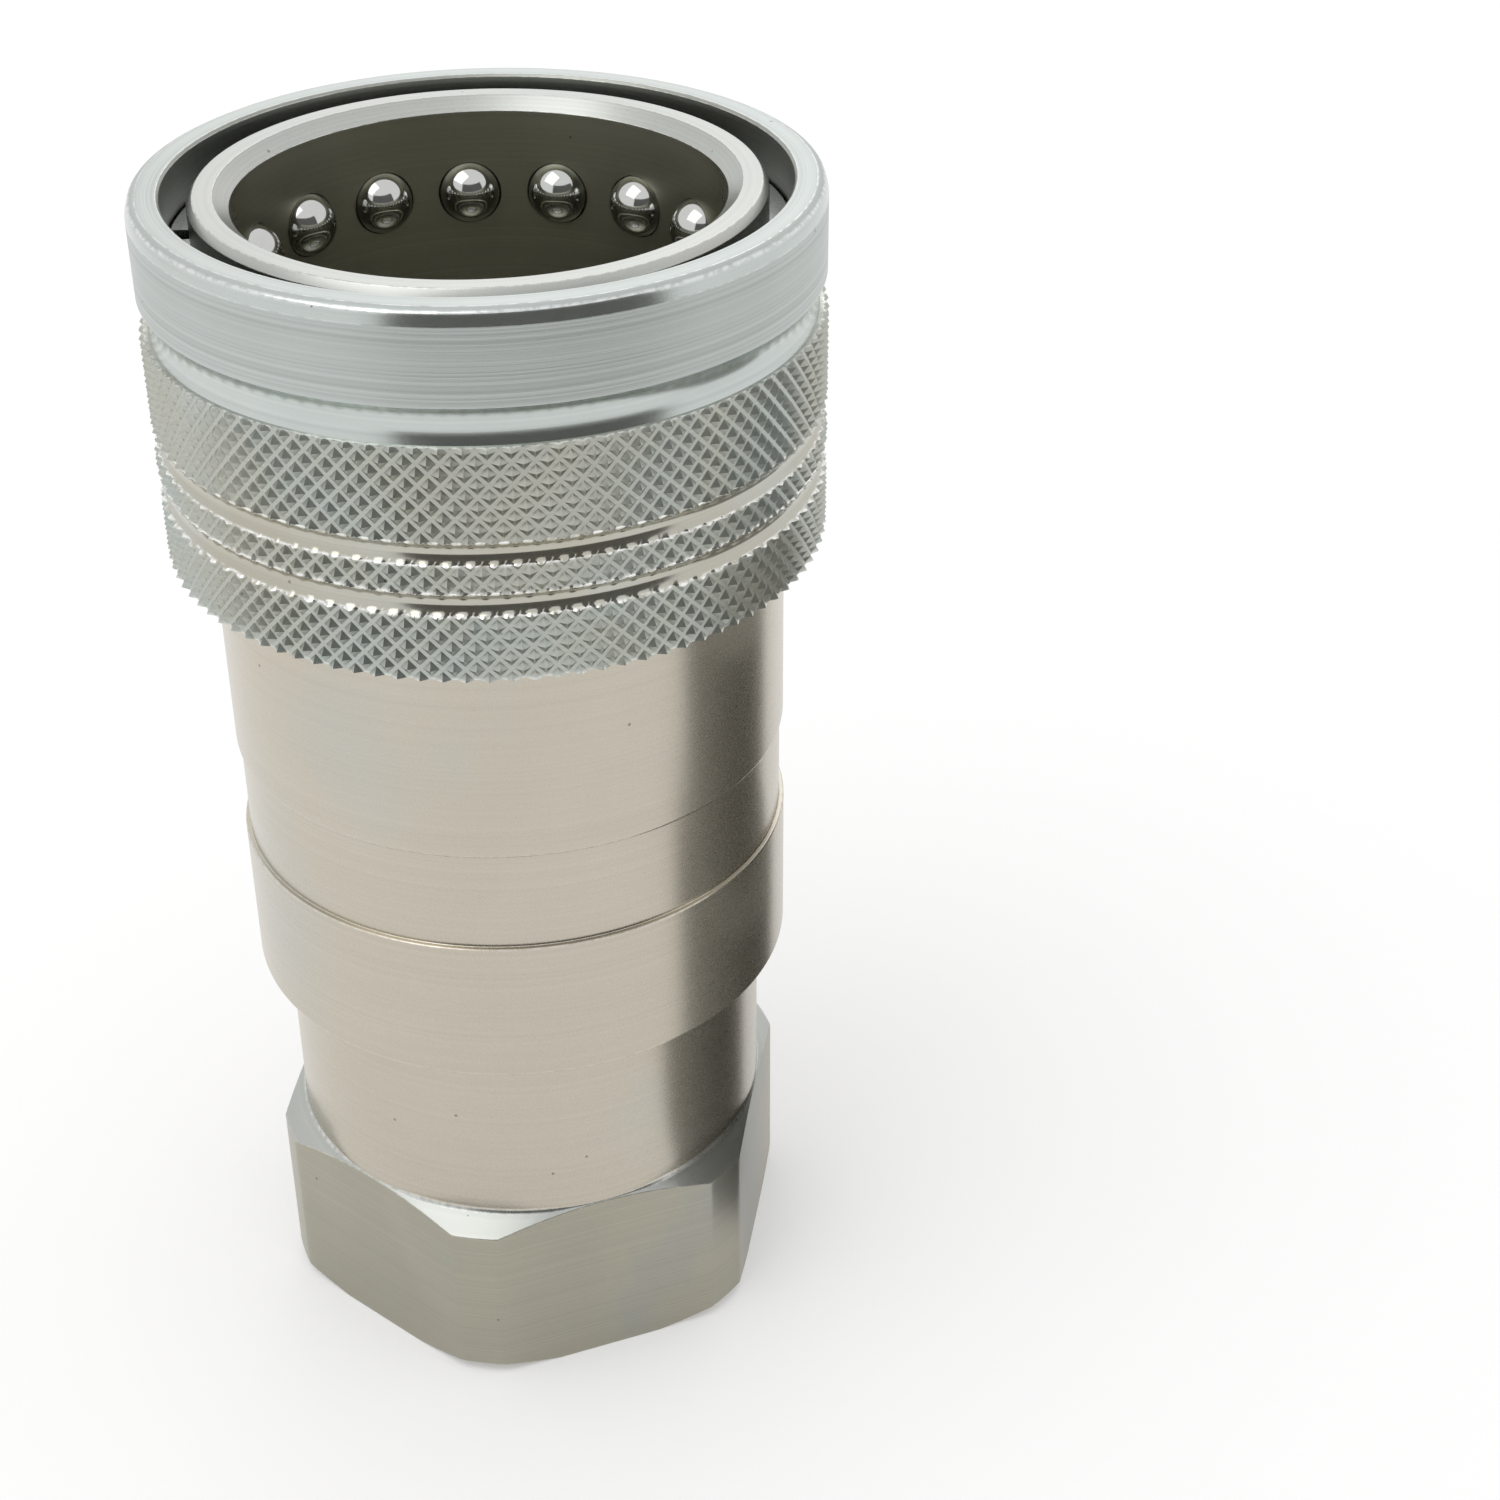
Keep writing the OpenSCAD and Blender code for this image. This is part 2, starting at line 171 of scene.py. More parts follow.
@dataclass
class Skin:
    """Collects rings of points and the faces between them, and makes one object of them."""

    points: list[Vector] = field(default_factory=list)
    edges: list[float] = field(default_factory=list)
    faces: list[tuple[int, ...]] = field(default_factory=list)
    finishes: list[int] = field(default_factory=list)

    def ring(self, points: Sequence[Vector], edge: float = 0.0) -> range:
        """Adds a ring of points and returns their numbers."""
        first = len(self.points)
        self.points.extend(points)
        self.edges.extend([edge] * len(points))
        return range(first, len(self.points))

    def face(self, corners: tuple[int, ...], finish: int = 0) -> None:
        """Adds one face."""
        self.faces.append(corners)
        self.finishes.append(finish)

    def join(
        self,
        low: range,
        high: range,
        finish: int = 0,
        rising: Callable[[int], bool] | None = None,
        closed: bool = True,
    ) -> None:
        """Joins two rings with faces.

        Args:
            low: The first ring.
            high: The next ring along the outline, with as many points or half as many.
            finish: Number of the material on these faces.
            rising: Tells for a column whether its face is split along its rising diagonal.
            closed: Whether the last column joins the first.
        """
        count = len(low)
        if len(high) * 2 == count:
            self._halve(low, high, finish)
            return
        for i in range(count if closed else count - 1):
            j = (i + 1) % count
            a, b, c, d = low[i], low[j], high[j], high[i]
            if rising is None:
                self.face((a, b, c, d), finish)
            elif rising(i):
                self.face((a, b, c), finish)
                self.face((a, c, d), finish)
            else:
                self.face((a, b, d), finish)
                self.face((b, c, d), finish)

    def _halve(self, low: range, high: range, finish: int) -> None:
        """Joins a ring to one with half as many points."""
        count = len(high)
        for i in range(count):
            j = (i + 1) % count
            a, b, c = low[2 * i], low[2 * i + 1], low[2 * j]
            self.face((a, b, high[i]), finish)
            self.face((b, c, high[j]), finish)
            self.face((b, high[j], high[i]), finish)

    def made(self, name: str, materials: Sequence[bpy.types.Material], sharp: float = 32) -> bpy.types.Object:
        """Makes the object.

        Args:
            name: The object's name.
            materials: Its materials, in the order of the finish numbers.
            sharp: Angle in degrees above which an edge between faces is sharp.

        Returns:
            The object, with weighted normals and its edge mask in the attribute "edge".
        """
        mesh = bpy.data.meshes.new(name)
        mesh.from_pydata(self.points, [], self.faces)
        mask = mesh.attributes.new("edge", "FLOAT", "POINT")
        mask.data.foreach_set("value", self.edges)
        mesh.polygons.foreach_set("material_index", self.finishes)
        for material in materials:
            mesh.materials.append(material)
        mesh.shade_smooth()
        mesh.set_sharp_from_angle(angle=math.radians(sharp))
        piece = bpy.data.objects.new(name, mesh)
        bpy.context.scene.collection.objects.link(piece)
        weighted = piece.modifiers.new("weighted", "WEIGHTED_NORMAL")
        weighted.keep_sharp = True
        return piece


def polar(r: float, angle: float, z: float) -> Vector:
    """The point at a radius, an angle in radians and a height."""
    return Vector((r * math.cos(angle), r * math.sin(angle), z))


def turned(outline: Outline, columns: int) -> Skin:
    """Turns a closed outline about Z.

    Args:
        outline: The outline, up the outside and down the inside.
        columns: Number of columns round the axis.

    Returns:
        The skin. A station on the axis becomes a single point.
    """
    skin = Skin()
    rings = []
    for station in outline:
        if station.r < 1e-7:
            rings.append(skin.ring([Vector((0, 0, station.z))], station.edge))
        else:
            angles = [math.tau * i / columns for i in range(columns)]
            rings.append(skin.ring([polar(station.r, a, station.z) for a in angles], station.edge))
    for i, ring in enumerate(rings):
        after = rings[(i + 1) % len(rings)]
        if len(ring) == len(after) == 1:
            continue
        if len(after) == 1:
            for k in range(columns):
                skin.face((ring[k], ring[(k + 1) % columns], after[0]), outline[i].finish)
        elif len(ring) == 1:
            for k in range(columns):
                skin.face((ring[0], after[(k + 1) % columns], after[k]), outline[i].finish)
        else:
            skin.join(ring, after, outline[i].finish)
    return skin


def merged(piece: bpy.types.Object, gap: float = 1e-7) -> bpy.types.Object:
    """Joins points of a piece that lie on each other."""
    import bmesh  # noqa: PLC0415

    bm = bmesh.new()
    bm.from_mesh(piece.data)
    bmesh.ops.remove_doubles(bm, verts=bm.verts, dist=gap)
    bm.to_mesh(piece.data)
    bm.free()
    return piece


# --------------------------------------------------------------------------------------------
# Shader graphs
# --------------------------------------------------------------------------------------------


class Graph:
    """Adds nodes to a node tree and links them."""

    def __init__(self, tree: bpy.types.NodeTree) -> None:
        """Works on the given tree."""
        self.tree = tree

    def node(self, kind: str, **settings: object) -> bpy.types.Node:
        """Adds a node and sets its properties."""
        node = self.tree.nodes.new(kind)
        for key, value in settings.items():
            setattr(node, key, value)
        return node

    def feed(self, socket: bpy.types.NodeSocket, value: Value) -> None:
        """Links a socket into another one, or sets its value."""
        if isinstance(value, bpy.types.NodeSocket):
            self.tree.links.new(value, socket)
        elif isinstance(value, tuple) and socket.type == "RGBA":
            socket.default_value = (*value[:3], 1.0)
        else:
            socket.default_value = value

    def math(self, operation: str, *values: Value, clamp: bool = False) -> bpy.types.NodeSocket:
        """The result of a Math node."""
        node = self.node("ShaderNodeMath", operation=operation, use_clamp=clamp)
        for socket, value in zip(node.inputs, values):
            self.feed(socket, value)
        return node.outputs[0]

    def step(self, value: Value, low: float, high: float) -> bpy.types.NodeSocket:
        """A smooth rise from 0 to 1 between two values, or a fall where low is above high."""
        node = self.node("ShaderNodeMapRange", interpolation_type="SMOOTHSTEP")
        self.feed(node.inputs["Value"], value)
        falling = low > high
        self.feed(node.inputs["From Min"], min(low, high))
        self.feed(node.inputs["From Max"], max(low, high))
        self.feed(node.inputs["To Min"], 1.0 if falling else 0.0)
        self.feed(node.inputs["To Max"], 0.0 if falling else 1.0)
        return node.outputs["Result"]

    def blend(self, factor: Value, first: Value, second: Value) -> bpy.types.NodeSocket:
        """A mix of two colours."""
        node = self.node("ShaderNodeMix", data_type="RGBA")
        self.feed(node.inputs[0], factor)
        self.feed(node.inputs[6], first)
        self.feed(node.inputs[7], second)
        return node.outputs[2]

    def noise(self, scale: float, detail: float = 3.0, place: Value | None = None) -> bpy.types.NodeSocket:
        """The value of a noise texture on object coordinates."""
        node = self.node("ShaderNodeTexNoise")
        self.feed(node.inputs["Vector"], place or self.place())
        node.inputs["Scale"].default_value = scale
        node.inputs["Detail"].default_value = detail
        return node.outputs[0]

    def place(self) -> bpy.types.NodeSocket:
        """The object coordinates."""
        return self.node("ShaderNodeTexCoord").outputs["Object"]

    def split(self, vector: Value) -> tuple[bpy.types.NodeSocket, ...]:
        """The X, Y and Z of a vector."""
        node = self.node("ShaderNodeSeparateXYZ")
        self.feed(node.inputs[0], vector)
        return tuple(node.outputs)

    def radius(self) -> bpy.types.NodeSocket:
        """The distance from the coupling's axis."""
        x, y, _ = self.split(self.place())
        return self.math("SQRT", self.math("ADD", self.math("MULTIPLY", x, x), self.math("MULTIPLY", y, y)))

    def stretched(self, scale: tuple[float, float, float]) -> bpy.types.NodeSocket:
        """The object coordinates with a scale of their own on each axis."""
        node = self.node("ShaderNodeMapping")
        self.feed(node.inputs["Vector"], self.place())
        node.inputs["Scale"].default_value = scale
        return node.outputs[0]

    def use(self, group: bpy.types.NodeTree, **values: Value) -> bpy.types.Node:
        """Places a node group; an input's spaces are written as underscores."""
        node = self.node("ShaderNodeGroup", node_tree=group)
        for key, value in values.items():
            self.feed(node.inputs[key.replace("_", " ")], value)
        return node


def new_group(
    name: str, inputs: dict[str, float], outputs: Sequence[str]
) -> tuple[Graph, bpy.types.Node, bpy.types.Node]:
    """Starts a node group.

    Args:
        name: The group's name.
        inputs: Its inputs, with the value that each starts with.
        outputs: Its outputs.

    Returns:
        The graph, the node with the inputs and the node that takes the outputs.
    """
    tree = bpy.data.node_groups.new(name, "ShaderNodeTree")
    for key, value in inputs.items():
        socket = tree.interface.new_socket(key, in_out="INPUT", socket_type="NodeSocketFloat")
        socket.default_value = value
    for key in outputs:
        tree.interface.new_socket(key, in_out="OUTPUT", socket_type="NodeSocketFloat")
    graph = Graph(tree)
    return graph, graph.node("NodeGroupInput"), graph.node("NodeGroupOutput")


@dataclass(frozen=True)
class Effects:
    """Node groups that several materials share."""

    lathe_lines: bpy.types.NodeTree
    plating: bpy.types.NodeTree
    edge_wear: bpy.types.NodeTree
    pits: bpy.types.NodeTree

    @classmethod
    def made(cls) -> "Effects":
        """Builds each group once."""
        return cls(
            lathe_lines=cls._lathe_lines(),
            plating=cls._plating(),
            edge_wear=cls._edge_wear(),
            pits=cls._pits(),
        )

    @staticmethod
    def _lathe_lines() -> bpy.types.NodeTree:
        """Fine lines round the axis, as a turning tool leaves them."""
        graph, given, out = new_group(
            "lathe_lines", {"Lines per Metre": 4000.0, "Wander": 0.0001, "Radial Share": 0.83}, ["Height", "Broad"]
        )
        radius = graph.radius()
        _, _, z = graph.split(graph.place())
        along = graph.math("ADD", z, graph.math("MULTIPLY", radius, given.outputs["Radial Share"]))
        drift = graph.math("MULTIPLY", graph.noise(60.0, 2.0), given.outputs["Wander"])
        along = graph.math("ADD", along, drift)
        fine = graph.node("ShaderNodeTexNoise", noise_dimensions="1D")
        graph.feed(fine.inputs["W"], graph.math("MULTIPLY", along, given.outputs["Lines per Metre"]))
        fine.inputs["Scale"].default_value = 1.0
        fine.inputs["Detail"].default_value = 3.0
        broad = graph.node("ShaderNodeTexNoise", noise_dimensions="1D")
        graph.feed(broad.inputs["W"], graph.math("MULTIPLY", along, 700.0))
        broad.inputs["Scale"].default_value = 1.0
        broad.inputs["Detail"].default_value = 2.0
        graph.feed(out.inputs["Height"], fine.outputs[0])
        graph.feed(out.inputs["Broad"], broad.outputs[0])
        return graph.tree

    @staticmethod
    def _plating() -> bpy.types.NodeTree:
        """Clouds of tint, soft streaks down the wall and a fine grain in a plated surface."""
        graph, given, out = new_group(
            "plating", {"Cloud Scale": 70.0, "Grain Scale": 5000.0}, ["Cloud", "Stain", "Grain"]
        )
        cloud = graph.node("ShaderNodeTexNoise")
        graph.feed(cloud.inputs["Vector"], graph.place())
        graph.feed(cloud.inputs["Scale"], given.outputs["Cloud Scale"])
        cloud.inputs["Detail"].default_value = 4.0
        cloud.inputs["Distortion"].default_value = 0.4
        stain = graph.noise(43.0, 3.0, graph.stretched((1.0, 1.0, 0.7)))
        grain = graph.node("ShaderNodeTexNoise")
        graph.feed(grain.inputs["Vector"], graph.place())
        graph.feed(grain.inputs["Scale"], given.outputs["Grain Scale"])
        grain.inputs["Detail"].default_value = 2.0
        graph.feed(out.inputs["Cloud"], graph.step(cloud.outputs[0], 0.35, 0.68))
        graph.feed(out.inputs["Stain"], graph.step(stain, 0.52, 0.7))
        graph.feed(out.inputs["Grain"], grain.outputs[0])
        return graph.tree

    @staticmethod
    def _edge_wear() -> bpy.types.NodeTree:
        """Broken bright wear along the eased edges of a mesh."""
        graph, given, out = new_group("edge_wear", {"Break Scale": 1500.0, "Amount": 0.7}, ["Wear"])
        mask = graph.node("ShaderNodeAttribute", attribute_name="edge").outputs["Fac"]
        breaks = graph.node("ShaderNodeTexNoise")
        graph.feed(breaks.inputs["Vector"], graph.place())
        graph.feed(breaks.inputs["Scale"], given.outputs["Break Scale"])
        breaks.inputs["Detail"].default_value = 3.0
        broken = graph.step(breaks.outputs[0], 0.35, 0.6)
        graph.feed(out.inputs["Wear"], graph.math("MULTIPLY", graph.math("MULTIPLY", mask, broken), given.outputs["Amount"]))
        return graph.tree

    @staticmethod
    def _pits() -> bpy.types.NodeTree:
        """A few tiny dark pits in a surface."""
        graph, given, out = new_group("pits", {"Pits per Metre": 700.0, "Share": 0.1, "Size": 0.1}, ["Pit"])
        cells = graph.node("ShaderNodeTexVoronoi", feature="F1")
        graph.feed(cells.inputs["Vector"], graph.place())
        graph.feed(cells.inputs["Scale"], given.outputs["Pits per Metre"])
        close = graph.math("LESS_THAN", cells.outputs["Distance"], given.outputs["Size"])
        chance, _, _ = graph.split(cells.outputs["Color"])
        chosen = graph.math("LESS_THAN", chance, given.outputs["Share"])
        graph.feed(out.inputs["Pit"], graph.math("MULTIPLY", close, chosen))
        return graph.tree


# --------------------------------------------------------------------------------------------
# Finishes
# --------------------------------------------------------------------------------------------


@dataclass(frozen=True)
class Metal:
    """A turned and plated metal surface.

    Args:
        name: The material's name.
        tint: Main colour.
        cloud_tint: Colour of the broad clouds in the plating.
        stain_tint: Colour of the few stains.
        edge_tint: Colour of worn edges.
        roughness: Mean roughness.
        roughness_spread: How far the grain moves the roughness.
        lines: Turning lines in each metre along the outline.
        line_depth: Height of the turning lines, in metres.
        grain_depth: Height of the grain, in metres.
        grain: Scale of the grain.
        pit_share: Share of the places for pits that have one.
        stain: How strong the stains are.
        wear: How strong the wear on the edges is.
        streak: Contrast of the turning lines in the colour.
        speckle: Contrast of the grain in the colour.
        grazing: Share of the light that a slanting view gives back.
        radial: How far the lines follow the radius, which is 0 for level lines on a milled flat.
    """

    name: str
    tint: tuple[float, float, float]
    cloud_tint: tuple[float, float, float]
    stain_tint: tuple[float, float, float]
    edge_tint: tuple[float, float, float]
    roughness: float
    roughness_spread: float = 0.12
    lines: float = 4000.0
    line_depth: float = 0.000004
    grain_depth: float = 0.0000012
    grain: float = 7000.0
    pit_share: float = 0.05
    stain: float = 0.4
    wear: float = 0.7
    streak: float = 0.1
    speckle: float = 0.1
    grazing: float = 1.0
    radial: float = 0.83

    def made(self, effects: Effects) -> bpy.types.Material:
        """Builds the material.

        Args:
            effects: The shared node groups.

        Returns:
            The material.
        """
        material = bpy.data.materials.new(self.name)
        material.use_nodes = True
        graph = Graph(material.node_tree)
        shader = material.node_tree.nodes["Principled BSDF"]
        shader.inputs["Metallic"].default_value = 1.0
        shader.inputs["Specular Tint"].default_value = (self.grazing, self.grazing, self.grazing, 1.0)
        lines = graph.use(effects.lathe_lines, Lines_per_Metre=self.lines, Radial_Share=self.radial)
        plating = graph.use(effects.plating, Grain_Scale=self.grain)
        wear = graph.use(effects.edge_wear, Amount=self.wear)
        pits = graph.use(effects.pits, Share=self.pit_share)
        colour = graph.blend(plating.outputs["Cloud"], self.tint, self.cloud_tint)
        stained = graph.math("MULTIPLY", plating.outputs["Stain"], self.stain)
        colour = graph.blend(stained, colour, self.stain_tint)
        colour = self._speckled(graph, colour, lines, plating)
        colour = graph.blend(wear.outputs["Wear"], colour, self.edge_tint)
        dark = tuple(c * 0.25 for c in self.tint)
        colour = graph.blend(graph.math("MULTIPLY", pits.outputs["Pit"], 0.6), colour, dark)
        graph.feed(shader.inputs["Base Color"], colour)
        rough = graph.math("MULTIPLY", graph.math("SUBTRACT", plating.outputs["Grain"], 0.5), self.roughness_spread)
        rough = graph.math("ADD", rough, self.roughness)
        rough = graph.math("SUBTRACT", rough, graph.math("MULTIPLY", wear.outputs["Wear"], 0.08), clamp=True)
        graph.feed(shader.inputs["Roughness"], rough)
        graph.feed(shader.inputs["Normal"], self._relief(graph, lines, plating))
        return material

    def _speckled(
        self, graph: Graph, colour: Value, lines: bpy.types.Node, plating: bpy.types.Node
    ) -> bpy.types.NodeSocket:
        """Darkens a colour a little in the lines and the grain."""
        shade = graph.math("MULTIPLY_ADD", lines.outputs["Height"], 2 * self.streak, 1 - self.streak)
        broad = graph.math("MULTIPLY_ADD", lines.outputs["Broad"], self.streak, 1 - self.streak / 2)
        grain = graph.math("MULTIPLY_ADD", plating.outputs["Grain"], 2 * self.speckle, 1 - self.speckle)
        shade = graph.math("MULTIPLY", graph.math("MULTIPLY", shade, broad), grain)
        node = graph.node("ShaderNodeMix", data_type="RGBA", blend_type="MULTIPLY")
        node.inputs[0].default_value = 1.0
        graph.feed(node.inputs[6], colour)
        graph.feed(node.inputs[7], shade)
        return node.outputs[2]

    def _relief(self, graph: Graph, lines: bpy.types.Node, plating: bpy.types.Node) -> bpy.types.NodeSocket:
        """The normal with turning lines and grain in it."""
        ridge = graph.node("ShaderNodeBump")
        ridge.inputs["Strength"].default_value = 1.0
        ridge.inputs["Distance"].default_value = self.line_depth
        graph.feed(ridge.inputs["Height"], lines.outputs["Height"])
        grain = graph.node("ShaderNodeBump")
        grain.inputs["Strength"].default_value = 1.0
        grain.inputs["Distance"].default_value = self.grain_depth
        graph.feed(grain.inputs["Height"], plating.outputs["Grain"])
        graph.feed(grain.inputs["Normal"], ridge.outputs["Normal"])
        return grain.outputs["Normal"]


@dataclass(frozen=True)
class Polymer:
    """A moulded rubber or plastic surface."""

    name: str
    tint: tuple[float, float, float]
    dust_tint: tuple[float, float, float]
    roughness: float

    def made(self, effects: Effects) -> bpy.types.Material:
        """Builds the material from the shared node groups."""
        material = bpy.data.materials.new(self.name)
        material.use_nodes = True
        graph = Graph(material.node_tree)
        shader = material.node_tree.nodes["Principled BSDF"]
        plating = graph.use(effects.plating, Cloud_Scale=300.0, Grain_Scale=4000.0)
        dust = graph.math("MULTIPLY", plating.outputs["Cloud"], 0.35)
        graph.feed(shader.inputs["Base Color"], graph.blend(dust, self.tint, self.dust_tint))
        shade = graph.math("MULTIPLY_ADD", plating.outputs["Grain"], 0.2, self.roughness - 0.1)
        graph.feed(shader.inputs["Roughness"], shade)
        bump = graph.node("ShaderNodeBump")
        bump.inputs["Distance"].default_value = 0.00001
        graph.feed(bump.inputs["Height"], plating.outputs["Grain"])
        graph.feed(shader.inputs["Normal"], bump.outputs["Normal"])
        return material


@dataclass(frozen=True)
class Finishes:
    """Every material of the coupling."""

    nickel: bpy.types.Material
    milled: bpy.types.Material
    nose: bpy.types.Material
    dark_bore: bpy.types.Material
    zinc_turned: bpy.types.Material
    zinc_cove: bpy.types.Material
    zinc_knurl: bpy.types.Material
    groove: bpy.types.Material
    zinc_inner: bpy.types.Material
    ring_steel: bpy.types.Material
    ball_steel: bpy.types.Material
    wire: bpy.types.Material
    rubber: bpy.types.Material
    plastic: bpy.types.Material

    @classmethod
    def made(cls, effects: Effects) -> "Finishes":
        """Builds each material once."""
        warm = (0.535, 0.492, 0.413)
        cool = (0.475, 0.505, 0.49)
        return cls(
            nickel=Metal(
                "nickel_satin", warm, (0.545, 0.505, 0.43), (0.48, 0.495, 0.48), (0.68, 0.66, 0.60),
                roughness=0.26, lines=2600.0, line_depth=0.0000012, pit_share=0.05, streak=0.05, speckle=0.05,
            ).made(effects),
            # darker copy of the nickel for the hexagon's flats and lower face: partly painted shade, for the
            # shadowed floor that these low faces reflect; the level lines and roughness are the milled finish
            milled=Metal(
                "nickel_milled", (0.385, 0.37, 0.305), (0.41, 0.385, 0.315), (0.33, 0.35, 0.35), (0.66, 0.65, 0.6),
                roughness=0.34, lines=5200.0, line_depth=0.000006, pit_share=0.04, stain=0.6, streak=0.12,
                speckle=0.06, radial=0.0,
            ).made(effects),
            nose=Metal(
                "nickel_nose", (0.44, 0.455, 0.43), (0.465, 0.47, 0.445), (0.36, 0.36, 0.34), (0.72, 0.72, 0.7),
                roughness=0.3, lines=4200.0, line_depth=0.000004, pit_share=0.12, streak=0.12, speckle=0.08,
            ).made(effects),
            # darker copy of the nickel with almost no sheen at slanting views: painted shade inside the bores and
            # ball holes
            dark_bore=Metal(
                "bore_dark", (0.42, 0.42, 0.345), (0.45, 0.44, 0.36), (0.18, 0.18, 0.15), (0.34, 0.34, 0.3),
                roughness=0.4, lines=3800.0, line_depth=0.000003, pit_share=0.04, wear=0.3, grazing=0.03,
                streak=0.1, speckle=0.08,
            ).made(effects),
            zinc_turned=Metal(
                "zinc_turned", cool, (0.455, 0.485, 0.47), (0.5, 0.52, 0.51), (0.8, 0.82, 0.82),
                roughness=0.38, lines=3400.0, line_depth=0.000016, pit_share=0.05, streak=0.22, speckle=0.06,
            ).made(effects),
            # brighter copy of the zinc for the cove and the rim's round-over: painted highlight
            zinc_cove=Metal(
                "zinc_cove", (0.56, 0.60, 0.58), (0.53, 0.57, 0.55), (0.6, 0.62, 0.61), (0.8, 0.82, 0.82),
                roughness=0.22, lines=3400.0, line_depth=0.000003, pit_share=0.04, streak=0.1, speckle=0.05,
            ).made(effects),
            zinc_knurl=Metal(
                "zinc_knurl", (0.43, 0.465, 0.435), (0.455, 0.455, 0.40), (0.52, 0.54, 0.51), (0.85, 0.86, 0.83),
                roughness=0.32, lines=5000.0, line_depth=0.000004, grain_depth=0.000003, pit_share=0.1,
                streak=0.12, speckle=0.12,
            ).made(effects),
            groove=Metal(
                "zinc_groove", (0.50, 0.50, 0.45), (0.47, 0.45, 0.38), (0.5, 0.52, 0.49), (0.92, 0.92, 0.9),
                roughness=0.16, lines=3000.0, line_depth=0.000002, pit_share=0.04, wear=0.9, streak=0.12,
                speckle=0.05,
            ).made(effects),
            # darker copy of the zinc for the sleeve's inside: painted shade
            zinc_inner=Metal(
                "zinc_inner", (0.33, 0.34, 0.31), (0.36, 0.365, 0.33), (0.28, 0.28, 0.25), (0.7, 0.7, 0.68),
                roughness=0.32, lines=4200.0, line_depth=0.000004, pit_share=0.08, streak=0.15, speckle=0.06,
            ).made(effects),
            ring_steel=Metal(
                "ring_steel", (0.40, 0.41, 0.41), (0.44, 0.45, 0.45), (0.35, 0.36, 0.35), (0.8, 0.8, 0.8),
                roughness=0.26, lines=5200.0, line_depth=0.000006, pit_share=0.06, streak=0.15, speckle=0.06,
            ).made(effects),
            ball_steel=Metal(
                "ball_polished", (0.55, 0.56, 0.54), (0.57, 0.57, 0.56), (0.6, 0.6, 0.59), (0.9, 0.9, 0.9),
                roughness=0.09, roughness_spread=0.05, lines=900.0, line_depth=0.0000002,
                grain_depth=0.0000006, pit_share=0.03, streak=0.04, speckle=0.04,
            ).made(effects),
            wire=Metal(
                "spring_wire", (0.40, 0.41, 0.42), (0.44, 0.45, 0.46), (0.34, 0.34, 0.34), (0.7, 0.7, 0.7),
                roughness=0.3, lines=2000.0, line_depth=0.000001, pit_share=0.05, streak=0.1, speckle=0.08,
            ).made(effects),
            rubber=Polymer("nitrile", (0.022, 0.022, 0.024), (0.05, 0.05, 0.05), 0.5).made(effects),
            plastic=Polymer("fluoropolymer", (0.82, 0.81, 0.78), (0.7, 0.69, 0.66), 0.45).made(effects),
        )


# --------------------------------------------------------------------------------------------
# Pieces
# --------------------------------------------------------------------------------------------


def placed(piece: bpy.types.Object, body: str, slot: Slot, *nodes: str) -> bpy.types.Object:
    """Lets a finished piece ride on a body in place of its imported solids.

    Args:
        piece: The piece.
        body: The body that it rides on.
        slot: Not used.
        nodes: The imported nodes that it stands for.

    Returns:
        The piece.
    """
    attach(piece, body)
    if nodes:
        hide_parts(*nodes)
    LOG.info("%s: %d faces on %s", piece.name, len(piece.data.polygons), body)
    return piece


